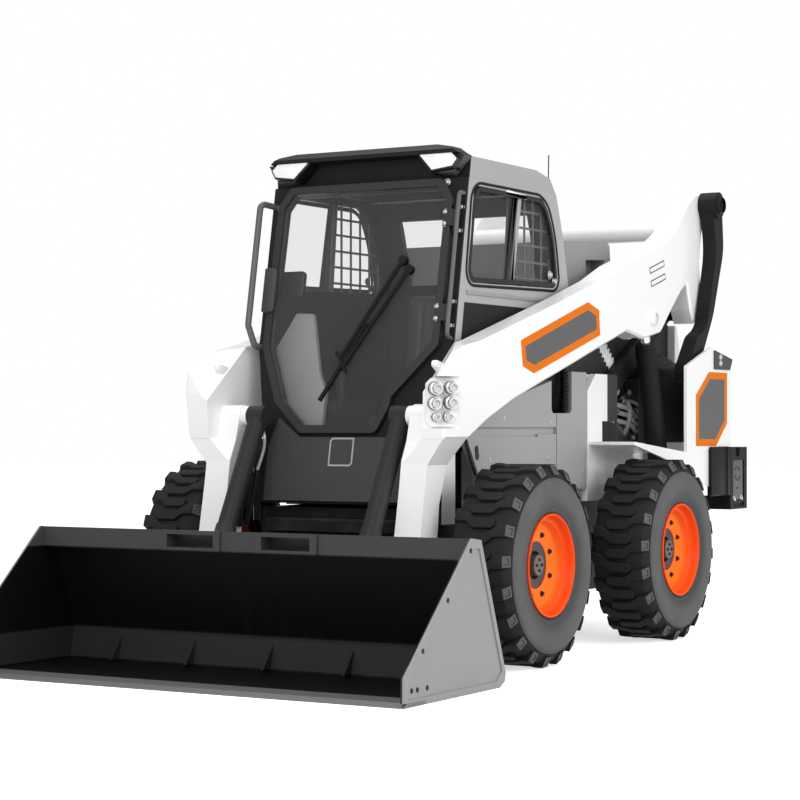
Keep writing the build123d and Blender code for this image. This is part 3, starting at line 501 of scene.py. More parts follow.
# (across, radius): tread, shoulder, ring grooves and bead of a carcass
half_carcass = [(0.0, lug_root), (0.108, 0.3955), (0.118, 0.389), (0.1395, 0.358), (0.1412, 0.3540),
                (0.1400, 0.3525), (0.1428, 0.3500), (0.1448, 0.335), (0.1450, 0.310), (0.1440, 0.280),
                (0.1410, 0.252), (0.1380, 0.240), (0.1362, 0.2385), (0.1368, 0.2365), (0.1330, 0.224),
                (0.1290, 0.2150), (0.1200, 0.2125)]
carcass_outline = half_carcass + [(-y, radius) for y, radius in half_carcass[:0:-1]]
carcass = spun("carcass", carcass_outline, 120)
two_finishes(carcass, tread_rubber, side_rubber,
             lambda face: abs(face.center.y) > 0.1385 or hypot(face.center.x, face.center.z) < 0.36)

# A lug at the front of the wheel: a bar across the middle that bends up to the shoulder.
lug_bar = [(-0.062, -0.010), (-0.050, -0.021), (0.036, -0.021), (0.068, 0.006), (half_section + 0.01, 0.012),
           (half_section + 0.01, 0.062), (0.088, 0.060), (0.030, 0.021), (-0.050, 0.021), (-0.062, 0.010)]
lug = slab("lug", [(tyre_radius - 0.0044, y, z) for y, z in lug_bar], 0.045)
shoulder_lean = Vector((half_section - half_tread, tyre_radius - 0.350, 0)).normalized()
with edit_mode():
    bpy.ops.mesh.bisect(plane_co=(tyre_radius, half_tread + 0.004, 0), plane_no=shoulder_lean, use_fill=True,
                        clear_outer=True)
bevelled(lug, 0.003, angle=50)
pick_face(lug, lambda face: face.area if face.normal.dot(shoulder_lean) > 0.95 else 0)
with edit_mode(None):
    bpy.ops.mesh.inset(thickness=0.009, depth=0)
    bpy.ops.mesh.inset(thickness=0.002, depth=-0.0025)
two_finishes(lug, tread_rubber, side_rubber,
             lambda face: face.normal.dot(shoulder_lean) > 0.9 and face.center.y > half_tread)
step_angle = 2 * pi / lug_count
lugs = copies("lugs", lug, [about_axle(step_angle * number) for number in range(lug_count)]
              + [about_axle(step_angle * (number + 0.5)) @ across_axle for number in range(lug_count)])
tyre = joined("tyre", [carcass, lugs])

# The rim is black on its inner side and deep orange at its flange; its yellower disc is painted light.
rim_paint = Finish("rim_enamel")
flange = abs(rim_paint.y).step(0.833, 0.868)
cloud = rim_paint.noise(5.0, 4)
orange = rim_paint.shade(
    Base_Color=rim_paint.mix(abs(rim_paint.y).step(0.700, 0.704), rgb(0.012, 0.012, 0.012),
                             rim_paint.mix(flange, rgb(0.94, 0.185, 0.016), rgb(0.91, 0.078, 0.004))),
    Roughness=0.34 + 0.1 * cloud, Specular_IOR_Level=0.15,
    Normal=orange_peel(rim_paint))

# (across, radius) of the rim's flange, two deep steps, disc and bore
rim_outline = [(-0.1115, 0.2115), (0.1115, 0.2115), (0.128, 0.2120), (0.1345, 0.2125), (0.1375, 0.2100),
               (0.1375, 0.2065), (0.1345, 0.2040), (0.118, 0.2005), (0.103, 0.1975), (0.098, 0.1925),
               (0.096, 0.1820), (0.092, 0.1785), (0.076, 0.1750), (0.068, 0.1700), (0.0645, 0.1600),
               (0.0620, 0.1450), (0.0600, 0.0980), (0.0520, 0.0980), (0.0440, 0.1450), (0.0440, 0.1600),
               (0.060, 0.178), (-0.1115, 0.188)]
rim = spun("rim", rim_outline, 112)
hub_outline = [(0.0565, 0.0985), (0.0565, 0.0590), (0.0540, 0.0570), (0.0300, 0.0560), (0.0300, 0.0440),
               (0.0740, 0.0430), (0.0770, 0.0400), (0.0770, 0.0), (0.0100, 0.0), (0.0100, 0.0985)]
hub = spun("hub", hub_outline, 64)


def facing(place, way):
    """Placing matrix that turns a piece's top towards a way."""
    return Matrix.Translation(place) @ Vector(way).to_track_quat("Z", "Y").to_matrix().to_4x4()


def bolt(name, radius, height, washer=True):
    """Hexagon bolt head on its washer at the origin, pointing up."""
    bpy.ops.mesh.primitive_cylinder_add(vertices=6, radius=radius, depth=height, location=(0, 0, height / 2))
    head = bpy.context.object
    pick_face(head, lambda face: face.center.z)
    with edit_mode(None):
        bpy.ops.mesh.bevel(offset=radius * 0.18, segments=2)
    if not washer:
        head.name = name
        return head
    bpy.ops.mesh.primitive_cylinder_add(vertices=20, radius=radius * 1.45, depth=height * 0.3,
                                        location=(0, 0, height * 0.15))
    ring = bpy.context.object
    bevelled(ring, height * 0.08, angle=40)
    only(head, ring)
    bpy.ops.object.transform_apply(location=True)
    return joined(name, [head, ring])


wheel_bolts = copies("wheel_bolts", bolt("wheel_bolt", 0.0085, 0.012),
                     [about_axle(pi / 8 + pi / 4 * number) @ facing((0.130, 0.0608, 0), left)
                      for number in range(8)])
hub_bolts = copies("hub_bolts", bolt("hub_bolt", 0.007, 0.006, washer=False),
                   [about_axle(pi / 2 * number) @ facing((0.022, 0.0768, 0), left) for number in range(4)])
bolt_steel = moulded("blackened_bolt", rgb(0.02, 0.02, 0.02), 0.45, 0.0002, 0.5)
# The hub's end is lighter at its centre: painted highlight on the black hub.
hub_centre_highlight = moulded("hub_centre_highlight", rgb(0.13, 0.13, 0.13), 0.45, 0.0003, 0.3)
plate_grey = moulded("hub_casting", rgb(0.05, 0.05, 0.05), 0.5, 0.0006, 0.2)
parts = ((tyre, "tyre", "tyre_rubber", "tyre_", (), 42), (rim, "rim", "orange_paint", "rim_", (orange,), 35),
         (hub, "hub", "iron", None, (plate_grey, hub_centre_highlight), 35),
         (wheel_bolts, "wheel_bolts", "iron", None, (bolt_steel,), 35),
         (hub_bolts, "hub_bolts", "iron", None, (bolt_steel,), 35))
for corner in ("front_left", "front_right", "rear_left", "rear_right"):
    axle_x = axles[corner.split("_")[0]]
    middle = Matrix.Translation((axle_x, wheel_middle_y, axle_z))
    if "right" in corner:
        middle = across_axle @ middle
    for model, name, slot_name, node, finishes, smooth in parts:
        piece = placed(model, middle)
        piece.name = f"{name}_{corner}"
        finished(piece, "wheel_" + corner, slot_name, *finishes, smooth=smooth)
        if name == "hub":
            for face in piece.data.polygons:
                near = hypot(face.center.x - axle_x, face.center.z - axle_z)
                face.material_index = int(near < 0.05)
        if node:
            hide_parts(node + corner)
for model, *_ in parts:
    bpy.data.objects.remove(model)

# ---------------------------------------------------------------------------- blank side plates
# Bare two-tone plates are stuck on the arms and on the rear quarters: a wide orange border round a
# grey middle. Their corners are cut at a slant.
arm_face_y = 0.6283
quarter_face_y = 0.7373


def on_side(y, points):
    """Corners at a Y from (x, z) points, in order for a face that looks to the left."""
    turn = sum(a[0] * b[1] - b[0] * a[1] for a, b in zip(points, points[1:] + points[:1]))
    return [(x, y, z) for x, z in (points if turn < 0 else points[::-1])]


def bordered(name, corners, border, depth, outer, inner):
    """Plate whose middle has a finish of its own inside a border."""
    piece = outlined(name, corners)
    with edit_mode():
        bpy.ops.mesh.inset(thickness=border, depth=0)
    two_finishes(piece, outer, inner, lambda face: face.select)
    return worked(piece, "SOLIDIFY", thickness=depth, offset=-1)


sticker_orange = moulded("plate_orange", rgb(0.76, 0.175, 0.004), 0.45, 0.0001, gloss=0.06)
sticker_grey = moulded("plate_grey", rgb(0.105, 0.105, 0.107), 0.4, 0.0001, gloss=0.2)
for name, body, face_y, corners in (
        ("arm_plates", "arms", arm_face_y, [(0.300, 1.352), (-0.357, 1.545), (-0.473, 1.514), (-0.483, 1.401),
                                            (0.178, 1.214), (0.281, 1.242)]),
        ("quarter_plates", "frame", quarter_face_y, [(-1.507, 1.253), (-1.741, 1.253), (-1.741, 1.001),
                                                     (-1.597, 0.887), (-1.344, 0.889), (-1.343, 1.137)])):
    plate = bordered(name, on_side(face_y + 0.0015, corners), 0.034, 0.0012, sticker_orange, sticker_grey)
    finished(plate, body, "orange_paint", both=True)
small_plates = joined("small_plates", [
    bordered("small_plate", on_side(arm_face_y + 0.0010, corners), 0.006, 0.0008, sticker_grey, white)
    for corners in ([(-1.035, 1.742), (-1.205, 1.790), (-1.213, 1.760), (-1.043, 1.712)],
                    [(-1.050, 1.680), (-1.220, 1.728), (-1.228, 1.698), (-1.058, 1.650)])])
finished(small_plates, "arms", "white_paint", both=True)

# ---------------------------------------------------------------------------- arm hardware
# A cast lug stands on each knuckle, and the pivot pins end in bolted caps.
knuckle_lug = slab("knuckle_lugs", on_side(0.548, [
    (0.800, 1.196), (0.800, 1.240), (0.876, 1.256), (0.889, 1.244), (0.884, 1.228), (0.830, 1.196)]),
    0.026, 0.006)
finished(knuckle_lug, "arms", "white_paint", white, both=True)


def bolts(name, body, radius, height, way, places, finish=silver, both=True):
    """Bolts that all face one way, as one piece."""
    row = copies(name, bolt(name, radius, height), [facing(place, way) for place in places])
    return finished(row, body, "edge_steel", finish, both=both)


def pin_cap(name, radius):
    """Domed cap with a keeper bolt, at the origin and pointing up."""
    bpy.ops.mesh.primitive_cylinder_add(vertices=40, radius=radius, depth=0.010, location=(0, 0, 0.005))
    cap = bpy.context.object
    pick_face(cap, lambda face: face.center.z)
    with edit_mode(None):
        bpy.ops.mesh.bevel(offset=0.003, segments=2)
        bpy.ops.mesh.inset(thickness=radius * 0.35, depth=-0.003)
    bpy.ops.object.transform_apply(location=True)
    keeper = bolt("keeper", 0.009, 0.008)
    keeper.data.transform(Matrix.Translation((0, 0, 0.006)))
    return joined(name, [cap, keeper])


for name, body, radius, places, finish, slot_name in (
        ("hitch_pins", "arms", 0.038, ((1.130, 0.540, 0.190), (0.830, 0.540, 1.030)), white, "white_paint"),
        ("lift_pins", "arms", 0.036, ((-1.080, 0.628, 1.500),), white, "white_paint"),
        ("link_pins", "rear_links", 0.046, ((-1.690, 0.719, 2.092),), black, "dark_paint")):
    caps = copies(name, pin_cap("cap", radius), [facing(place, left) for place in places])
    finished(caps, body, slot_name, finish, both=True)

# ---------------------------------------------------------------------------- side panels' trim
# The front panel ends in a rubber lip; a lock and a few screws hold it, and a ribbed conduit
# passes down through the slot between the two panels.
panel_face_y = 0.5093
gloss_black = moulded("gloss_black", rgb(0.007, 0.007, 0.008), 0.3, 0.0, gloss=0.25)
lip = slab("panel_lips", on_side(panel_face_y + 0.006, [
    (0.566, 0.934), (0.578, 0.918), (0.492, 0.780), (0.470, 0.780), (0.478, 0.800)]), 0.010, 0.003)
finished(lip, "frame", "tyre_rubber", gloss_black, both=True)
bolts("panel_screws", "frame", 0.007, 0.006, left, [(x, panel_face_y - 0.001, z) for x, z in (
    (0.229, 1.025), (-0.222, 1.004), (0.36, 0.845), (-0.20, 0.845), (-0.32, 0.90), (-0.56, 0.78))])
lock = slab("panel_locks", on_side(panel_face_y + 0.003, [
    (0.492, 0.900), (0.470, 0.906), (0.462, 0.890), (0.462, 0.862), (0.470, 0.850), (0.486, 0.858)]), 0.004, 0.001)
finished(lock, "frame", "cab_plastic", gloss_black, both=True)
conduit_length = 0.20
rib_pitch = 0.012
conduit_outline = []
for number in range(int(conduit_length / rib_pitch)):
    rise = rib_pitch * number
    conduit_outline += [(rise, 0.017), (rise + rib_pitch * 0.3, 0.022), (rise + rib_pitch * 0.6, 0.022),
                        (rise + rib_pitch * 0.9, 0.017)]
conduit_outline += [(conduit_length, 0.0136), (0, 0.0136)]
conduit = spun("panel_conduits", conduit_outline, 28, (-0.385, 0.497, 1.050), (0, 0, 1))
finished(conduit, "frame", "cab_plastic", gloss_black, both=True)

# ---------------------------------------------------------------------------- pipes and lines
# Two steel pipes run along the right leg to the bucket's cylinder, and two rubber-covered lines
# carry on down from their ends. All four are rigid and ride on the arms.
def line(name, points, radius, sides=6):
    """Smooth round line through control points, with closed ends."""
    curve = bpy.data.curves.new(name, "CURVE")
    curve.dimensions = "3D"
    curve.bevel_depth = radius
    curve.bevel_resolution = sides // 2
    curve.use_fill_caps = True
    spline = curve.splines.new("NURBS")
    spline.points.add(len(points) - 1)
    for point, place in zip(spline.points, points):
        point.co = (*place, 1)
    spline.order_u = 3
    spline.use_endpoint_u = True
    spline.resolution_u = 6
    piece = bpy.data.objects.new(name, curve)
    bpy.context.collection.objects.link(piece)
    only(piece)
    bpy.ops.object.convert(target="MESH")
    return bpy.context.object


tilt_lines = joined("tilt_lines", [
    line("tilt_line", points, 0.012) for points in (
        [(0.818, -0.372, 0.800), (0.830, -0.375, 0.740), (0.838, -0.385, 0.660), (0.850, -0.405, 0.560)],
        [(0.870, -0.390, 0.800), (0.882, -0.392, 0.740), (0.886, -0.400, 0.660), (0.890, -0.410, 0.560)])])
finished(tilt_lines, "arms", "tyre_rubber", gloss_black)
tilt_pipes = joined("tilt_pipes", [
    line("tilt_pipe", points, 0.007) for points in (
        [(0.716, -0.405, 0.960), (0.740, -0.380, 0.935), (0.766, -0.372, 0.870), (0.818, -0.372, 0.792)],
        [(0.716, -0.405, 0.990), (0.770, -0.385, 0.960), (0.835, -0.388, 0.880), (0.870, -0.390, 0.792)])])
finished(tilt_pipes, "arms", "edge_steel", silver)

# ---------------------------------------------------------------------------- door and cab front
# The door hangs on two leaves with bright bolts; the grab handles, the latch box and the wiper's
# spindle are bolted to the black moulding, and the front panel has a bare badge seat.
def on_front(y, z, ahead=0.0):
    """Point on the cab's front plane or ahead of it."""
    return Vector((cab_front_x(z), y, z)) + ahead * front_way


front_way = Vector((1, 0, cab_front_slope)).normalized()
bolts("door_bolts", "cab_door", 0.0095, 0.008, front_way,
      [on_front(0.412, z, 0.0325) for z in (1.880, 1.830, 1.480, 1.430)], both=False)
bolts("front_bolts", "frame", 0.0095, 0.007, front_way, [on_front(y, z, 0.0015) for y, z in (
    (0.470, 1.905), (0.470, 1.805), (0.470, 1.505), (0.470, 1.405), (-0.448, 1.945), (-0.452, 1.338))], both=False)
badge_edge = moulded("badge_edge", rgb(0.42, 0.42, 0.42), 0.4, 0.0002)
badge_seat = bordered("badge_seat", [on_front(y, z, 0.0200) for y, z in (
    (-0.060, 0.815), (0.048, 0.815), (0.060, 0.827), (0.060, 0.935), (-0.048, 0.935), (-0.060, 0.923))],
    0.007, 0.0015, badge_edge, cab_plastic)
finished(badge_seat, "frame", "cab_plastic")
latch_box = slab("latch_box", [on_front(y, z, 0.052) for y, z in (
    (-0.462, 1.475), (-0.405, 1.475), (-0.400, 1.490), (-0.400, 1.655), (-0.410, 1.668), (-0.462, 1.668))],
    0.026, 0.006)
finished(latch_box, "cab_door", "cab_plastic", cab_plastic)

# ---------------------------------------------------------------------------- lamps
# A work lamp under each corner of the visor is a black bezel with a clear lens over its facets,
# and a slim marker lamp lies along each side of the roof.
lens = Finish("lamp_lens")
facets = lens.noise(60, 1)
lens_clear = lens.shade(Base_Color=lens.mix(facets, rgb(0.80, 0.81, 0.82), rgb(0.95, 0.96, 0.97)), Roughness=0.12,
                        Coat_Weight=1.0, Normal=lens.bump(facets, 0.002, 0.3))
eave_z = 2.125
lamp_bezel = slab("lamp_bezels", [on_front(y, z, 0.068) for y, z in (
    (0.338, eave_z - 0.080), (0.446, eave_z - 0.068), (0.472, eave_z - 0.030), (0.434, eave_z + 0.012),
    (0.294, eave_z + 0.018), (0.268, eave_z - 0.006))],
    0.062, 0.004)
finished(lamp_bezel, "frame", "lamp_plastic", gloss_black, both=True)
work_lens = slab("work_lenses", [on_front(y, z, 0.072) for y, z in (
    (0.346, eave_z - 0.072), (0.441, eave_z - 0.060), (0.462, eave_z - 0.030), (0.430, eave_z + 0.002),
    (0.300, eave_z + 0.008), (0.282, eave_z - 0.006))],
    0.006, 0.002)
finished(work_lens, "frame", "lamp_plastic", lens_clear, both=True)
bolts("lamp_bolts", "frame", 0.011, 0.010, front_way, [on_front(0.389, eave_z - 0.108, 0.001)])
marker = slab("side_markers", on_side(cab_half_width + 0.003, [
    (0.167, 2.002), (0.155, 2.012), (-0.020, 2.004), (-0.032, 1.994), (-0.024, 1.984), (0.160, 1.992)]),
    0.003, 0.001)
finished(marker, "frame", "lamp_plastic", lens_clear, both=True)


# ---------------------------------------------------------------------------- side window trim
# Each side pane sits in a rubber gasket inside a pressed steel ring, and a pair of upright bars
# closes the sliding half. A short whip aerial stands behind the cab.
def framed(name, corners, radius, width, depth):
    """Ring of even width with rounded corners, standing on the face behind its outline."""
    piece = outlined(name, corners)
    with edit_mode():
        bpy.ops.mesh.bevel(offset=radius, segments=6, affect="VERTICES")
    with edit_mode():
        bpy.ops.mesh.inset(thickness=width, depth=0)
        bpy.ops.mesh.delete(type="FACE")
    worked(piece, "SOLIDIFY", thickness=depth, offset=-1)
    return bevelled(piece, 0.0015, angle=40)


for name, out, corners, radius, width, depth, slot_name, finish in (
        ("window_rings", 0.004, [(0.474, 2.024), (-0.222, 2.024), (-0.318, 1.862), (-0.370, 1.592), (0.540, 1.572)],
         0.085, 0.012, 0.0045, "grey_paint", black),
        ("window_gaskets", 0.003, [(0.450, 2.004), (-0.206, 2.004), (-0.296, 1.856), (-0.343, 1.612),
                                   (0.512, 1.594)], 0.070, 0.020, 0.0035, "cab_plastic", gloss_black)):
    ring = framed(name, on_side(cab_half_width + out, corners), radius, width, depth)
    finished(ring, "frame", slot_name, finish, both=True)
for name, finish, slot_name, top, foot, width in (
        ("pane_bars", gloss_black, "cab_plastic", 0.062, 0.142, 0.034),
        ("pane_frames", grey, "grey_paint", 0.018, 0.100, 0.030)):
    bar = slab(name, on_side(cab_half_width - 0.004, [
        (top + width / 2, 1.998), (top - width / 2, 1.998), (foot - width / 2, 1.602), (foot + width / 2, 1.602)]),
        0.0085, 0.002)
    finished(bar, "frame", slot_name, finish, both=True)
bolts("window_locks", "frame", 0.013, 0.012, left, [
    (x, cab_half_width - 0.006, z) for x, z in ((-0.268, 1.668), (-0.312, 1.640))])
sill = slab("window_sills", on_side(cab_half_width + 0.006, [
    (0.522, 1.556), (0.522, 1.540), (-0.372, 1.540), (-0.372, 1.556)]), 0.007, 0.002)
# The sills take the hood's darker grey, a painted shade of the panels' grey.
finished(sill, "frame", "grey_paint", hood_grey_shaded, both=True)
aerial = joined("aerial", [
    line("aerial_rod", [(-0.436, 0.390, 2.010), (-0.436, 0.390, 2.100), (-0.438, 0.390, 2.170),
                        (-0.440, 0.390, 2.232)], 0.0028),
    line("aerial_foot", [(-0.436, 0.390, z) for z in (1.985, 2.005, 2.030, 2.050)], 0.0075, 8)])
finished(aerial, "frame", "cab_plastic", gloss_black)

# ---------------------------------------------------------------------------- inside the cab
# Beside the seat stands a pale moulded console with a hand control, and a display hangs on the right post.
# The seat is padded vinyl: a cushion and a tall back, both with seams.
console = slab("console", [on_front(y, z, -0.062) for y, z in (
    (-0.353, 1.493), (-0.262, 1.488), (-0.200, 1.228), (-0.158, 1.149), (-0.162, 0.994), (-0.242, 0.994),
    (-0.299, 1.046), (-0.450, 1.180), (-0.450, 1.330), (-0.383, 1.436))][::-1], 0.030, 0.008)
console_grey = moulded("console_plastic", rgb(0.26, 0.26, 0.262), 0.5, 0.0004)
finished(console, "frame", "cab_plastic", console_grey)
display = slab("display", [on_front(y, z, -0.050) for y, z in (
    (-0.452, 1.560), (-0.330, 1.560), (-0.322, 1.570), (-0.322, 1.665), (-0.332, 1.676), (-0.452, 1.676))],
    0.028, 0.006)
finished(display, "frame", "cab_plastic", gloss_black)


def worked_cloth(piece, most):
    """Blow the pad up with cloth under pressure; no point moves further than most."""
    before = [vertex.co.copy() for vertex in piece.data.vertices]
    bpy.context.view_layer.objects.active = piece
    cloth = piece.modifiers.new("cloth", "CLOTH")
    cloth.settings.use_pressure = True
    cloth.settings.uniform_pressure_force = 4
    cloth.settings.effector_weights.gravity = 0
    for number in range(1, 21):
        bpy.context.scene.frame_set(number)
    bpy.ops.object.modifier_apply(modifier=cloth.name)
    bpy.context.scene.frame_set(1)
    for vertex, start in zip(piece.data.vertices, before):
        move = vertex.co - start
        if move.length > most:
            vertex.co = start + move.normalized() * most


def cushion(name, corners, width, crown, seams):
    """Padded block from an (x, z) outline: full sides, soft corners and sewn channels across it."""
    piece = slab(name, on_side(width / 2, corners), width)
    bevelled(piece, 0.024, 3)
    worked(piece, "REMESH", mode="VOXEL", voxel_size=0.010)
    worked_cloth(piece, crown)
    for across in seams:
        for vertex in piece.data.vertices:
            near = abs(vertex.co.y - across)
            if near < 0.012:
                vertex.co -= vertex.normal * 0.006 * (1 - near / 0.012)
    worked(piece, "SUBSURF", levels=1, render_levels=1)
    return piece


seat_base = cushion("seat_cushion", [(0.218, 0.930), (0.222, 1.030), (-0.060, 1.018), (-0.185, 0.990),
                                     (-0.185, 0.930)], 0.410, 0.010, (-0.105, 0.105))
seat_back = cushion("seat_back", [(-0.075, 1.010), (-0.152, 1.590), (-0.238, 1.602), (-0.196, 1.010)],
                    0.400, 0.010, (-0.105, 0.105))
seat_box = slab("seat_box", on_side(0.200, [(0.170, 0.701), (0.172, 0.935), (-0.180, 0.935), (-0.184, 0.701)]),
                0.400, 0.010)
for piece in (seat_base, seat_back):
    finished(piece, "frame", "seat_vinyl", vinyl, smooth=60)
finished(seat_box, "frame", "cab_plastic", cab_plastic)
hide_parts("seat")

# ---------------------------------------------------------------------------- couplings
# Bright quick couplings stand on the left knuckle's block: each has a collar, a knurled sleeve and a
# nose with a bore. The collar and the bore's bottom are black as painted shade.
coupling_seat = Vector((0.889, 0.573, 1.083))
coupling_way = Vector((1, 1, 0)).normalized()
coupling_across = Vector((-1, 1, 0)).normalized()
stand_off = 0.013


def coupling(name, radius, length):
    """Stepped sleeve with a bored nose, at the origin and pointing up."""
    outline = [(0.0, radius * 1.04), (0.006, radius * 1.04), (0.007, radius * 0.86), (0.014, radius * 0.86),
               (0.015, radius), (length * 0.62, radius), (length * 0.66, radius * 0.80), (length, radius * 0.74),
               (length, radius * 0.46), (length * 0.7, radius * 0.40), (length * 0.7, 0.0), (0.0, 0.0)]
    piece = spun(name, outline, 28)
    piece.data.transform(Matrix.Rotation(pi / 2, 4, "X"))
    return piece


sleeves = []
for across, up, radius, length in (
        (-0.033, 0.056, 0.027, 0.062), (0.033, 0.060, 0.026, 0.062), (-0.036, -0.004, 0.026, 0.056),
        (0.031, 0.0, 0.027, 0.062), (-0.028, -0.060, 0.018, 0.038), (0.024, -0.058, 0.022, 0.036)):
    middle = coupling_seat + coupling_across * across + Vector((0, 0, up)) + coupling_way * stand_off
    sleeves.append(copies("sleeve", coupling("coupling", radius, length), [facing(middle, coupling_way)]))
couplings = joined("couplings", sleeves)


def shaded_collar_or_bore(face):
    """Whether a face of a coupling is on its collar or at the bottom of its bore, both black as painted shade."""
    rise = (face.center - coupling_seat).dot(coupling_way) - stand_off
    return rise < 0.0145 or (face.normal.dot(coupling_way) > 0.9 and rise > 0.03 and face.area < 0.00001)


two_finishes(couplings, silver, gloss_black, shaded_collar_or_bore)
finished(couplings, "arms", "edge_steel")

# ---------------------------------------------------------------------------- engine bay
# A pale ribbed intake hose, flat against the hood's side, a belt pulley and bent steel pipes show beside
# the engine block. Their pale grey is painted light in the bay's shade, over the hose's own pale colour.
# Pale grey for the bay's parts: painted light where the bay lies in shade.
bay_steel_lit = moulded("bay_steel_lit", rgb(0.80, 0.80, 0.81), 0.35, 0.0002)
upright = Matrix.Rotation(pi / 2, 4, "X")
flattened = Matrix.Translation((0, 0.431, 0)) @ Matrix.Scale(0.16, 4, left)
bellow = spun("bellow", [(-0.006, 0.030), (-0.004, 0.042), (0.004, 0.042), (0.006, 0.030)], 24)
bellows = copies("bellows", bellow, [
    flattened @ facing((-0.880 - 0.190 * number / 8, 0, 1.410 - 0.165 * number / 8), (0.76, 0, 0.65)) @ upright
    for number in range(9)])
hose_core = line("hose_core", [(-0.870, 0, 1.420), (-0.940, 0, 1.358), (-1.000, 0, 1.304), (-1.080, 0, 1.235)],
                 0.030, 8)
hose_core.data.transform(flattened)
finished(joined("intake_hose", [bellows, hose_core]), "frame", "edge_steel", bay_steel_lit)
pulley_outline = [(-0.020, 0.045), (-0.014, 0.050), (-0.008, 0.041), (0.0, 0.050), (0.006, 0.041), (0.012, 0.050),
                  (0.018, 0.046), (0.018, 0.036), (0.012, 0.033), (0.012, 0.018), (0.022, 0.016), (0.022, 0.0),
                  (-0.020, 0.0)]
pulley_middle = Vector((-1.180, 0.372, 1.160))
pulley = copies("pulley", spun("pulley_wheel", pulley_outline, 40), [
    facing(pulley_middle, (0.95, 0.3, 0)) @ upright])
two_finishes(pulley, gloss_black, bay_steel_lit, lambda face: (face.center - pulley_middle).length < 0.030)
finished(pulley, "frame", "edge_steel")
bay_pipes = joined("bay_pipes", [
    line("bay_pipe", points, radius, 8) for radius, points in (
        (0.013, [(-1.190, 0.370, 1.090), (-1.270, 0.408, 1.085), (-1.350, 0.408, 1.030), (-1.440, 0.400, 1.030),
                 (-1.500, 0.350, 0.960)]),
        (0.012, [(-1.200, 0.365, 1.055), (-1.290, 0.408, 1.045), (-1.350, 0.408, 0.995), (-1.430, 0.400, 0.995),
                 (-1.480, 0.350, 0.940)]),
        (0.012, [(-1.230, 0.360, 1.015), (-1.300, 0.408, 1.000), (-1.360, 0.408, 0.960), (-1.420, 0.395, 0.960),
                 (-1.460, 0.350, 0.930)]),
        (0.011, [(-1.260, 0.360, 1.135), (-1.290, 0.412, 1.110), (-1.285, 0.412, 1.000), (-1.310, 0.370, 0.945)]),
        (0.009, [(-1.330, 0.370, 1.120), (-1.370, 0.408, 1.100), (-1.430, 0.400, 1.080), (-1.450, 0.350, 1.060)]))])
finished(bay_pipes, "frame", "edge_steel", bay_steel_lit)
bolts("bay_clips", "frame", 0.012, 0.012, left, [
    (-1.290, 0.405, 1.150), (-1.240, 0.400, 1.110), (-1.400, 0.402, 1.060), (-1.330, 0.408, 0.930),
    (-1.180, 0.392, 1.060)], both=False)

# ---------------------------------------------------------------------------- rear corners
# Black moulded cheeks close the bumper's ends against the quarters, with upright grooves and a
# bolted end plate, and each tail bracket has two bolts.
cheek = slab("bumper_cheeks", on_side(quarter_face_y + 0.0185, [
    (-1.500, 0.652), (-1.500, 0.872), (-1.512, 0.884), (-1.744, 0.884), (-1.744, 0.640), (-1.512, 0.640)]),
    0.018, 0.005)
grooves = ((-1.660, -1.640), (-1.710, -1.690))
with edit_mode(None):
    for rear, front in grooves:
        for x in (front, rear):
            bpy.ops.mesh.select_all(action="SELECT")
            bpy.ops.mesh.bisect(plane_co=(x, 0, 0), plane_no=(1, 0, 0))
    bpy.ops.mesh.select_all(action="DESELECT")
for face in cheek.data.polygons:
    face.select = face.normal.y > 0.9 and any(rear < face.center.x < front for rear, front in grooves)
with edit_mode(None):
    bpy.ops.mesh.inset(thickness=0.002, depth=-0.006)
finished(cheek, "frame", "dark_paint", black, both=True)
end_grey = moulded("end_plate", rgb(0.085, 0.085, 0.087), 0.5, 0.0012)
bumper_face_y = 0.747
end_plate = slab("bumper_ends", on_side(bumper_face_y + 0.004, [
    (-1.782, 0.600), (-1.782, 0.812), (-1.800, 0.830), (-1.905, 0.830), (-1.922, 0.812), (-1.922, 0.600)]),
    0.005, 0.002)
finished(end_plate, "frame", "dark_paint", end_grey, both=True)
ridge = slab("ridge", [(0, -0.016, -0.005), (0, 0.016, -0.005), (0, 0.016, 0.005), (0, -0.016, 0.005)],
             0.004, 0.0015)
ridges = copies("end_ridges", ridge, [
    Matrix.Translation((x, bumper_face_y + 0.007, z)) @ about_axle(radians(turn)) @ Matrix.Rotation(pi / 2, 4, "Z")
    for x, z, turn in ((-1.830, 0.775, 35), (-1.872, 0.770, -35), (-1.830, 0.725, -35), (-1.872, 0.720, 35),
                       (-1.850, 0.672, 0))])
finished(ridges, "frame", "dark_paint", plate_grey, both=True)
bolts("rear_bolts", "frame", 0.011, 0.008, left, [
    (-1.803, bumper_face_y + 0.003, 0.618), (-1.898, bumper_face_y + 0.003, 0.622),
    (-1.640, 0.7445, 1.330), (-1.640, 0.7445, 1.300)])

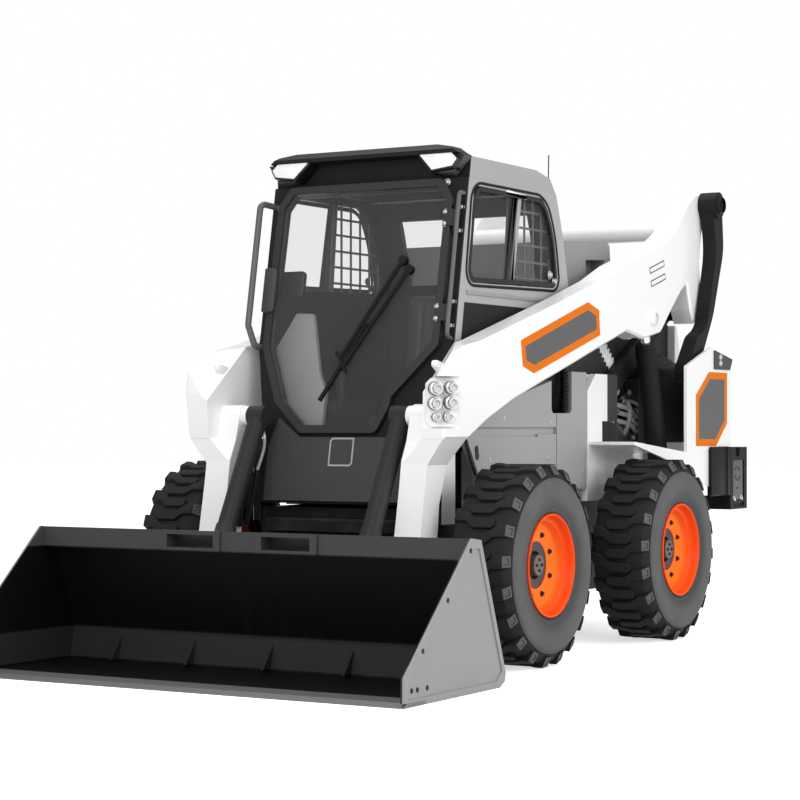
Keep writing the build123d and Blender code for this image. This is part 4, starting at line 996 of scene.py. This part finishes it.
# ---------------------------------------------------------------------------- bucket
# The bucket is one dark paint in several tones: near-black and scuffed inside, with a lighter top rail
# and grey outer sides as painted light and a painted highlight along the heel. Bright worn steel runs
# along the cutting edge, and small bolts along the side bars.
bucket_half_width = 1.027
bucket = Finish("bucket_enamel")
# Grey outer sides: painted light on the dark plate.
lit_side_out = abs(bucket.y).step(bucket_half_width - 0.0100, bucket_half_width - 0.0060)
scuff = bucket.noise(5.0, 6, stretch=(1, 4, 1)).step(0.50, 0.78)
low = 1 - bucket.z.step(0.03, 0.30)
inner = bucket.mix(scuff * low * 0.4, rgb(0.003, 0.003, 0.0034), rgb(0.009, 0.009, 0.010))
# A lighter band low on the back: painted highlight along the heel.
heel_highlight = bucket.z.step(0.014, 0.020) * (1 - bucket.z.step(0.138, 0.150))
inner = bucket.mix(heel_highlight, inner, rgb(0.020, 0.0205, 0.022))
# A lighter top rail: painted light on the upward faces.
lit_rail = bucket.z.step(0.488, 0.496)
outer = bucket.mix(lit_rail, inner, rgb(0.046, 0.049, 0.051))
bucket_paint = bucket.shade(
    Base_Color=bucket.mix(lit_side_out, outer, rgb(0.262, 0.266, 0.270)), Specular_IOR_Level=0.12,
    Roughness=0.42 + 0.15 * scuff, Coat_Weight=0.15 * lit_side_out,
    Normal=orange_peel(bucket))
dress(bucket_paint, "bucket_steel", "bucket")
step_grey = moulded("step_back", rgb(0.045, 0.046, 0.048), 0.5, 0.0003, gloss=0.3)
bolts("bucket_bolts", "bucket_and_coupler", 0.007, 0.004, left, [
    (x, bucket_half_width - inset, z) for x, z, inset in (
        (1.474, 0.528, 0.0005), (1.647, 0.357, 0.0005), (1.829, 0.190, 0.0005),
        (1.900, 0.056, 0.0050), (1.860, 0.056, 0.0050), (1.790, 0.056, 0.0050))], bolt_steel)
back_x, back_z, back_lean = 1.382, 0.519, 0.387
step_backs = joined("step_backs", [
    slab("step_back", [(back_x + (z - back_z) * back_lean, y + across, z) for across, z in (
        (-0.112, 0.503), (0.112, 0.503), (0.112, 0.556), (-0.112, 0.556))], 0.005, 0.001) for y in (-0.260, 0.196)])
finished(step_backs, "bucket_and_coupler", "bucket_steel", step_grey)
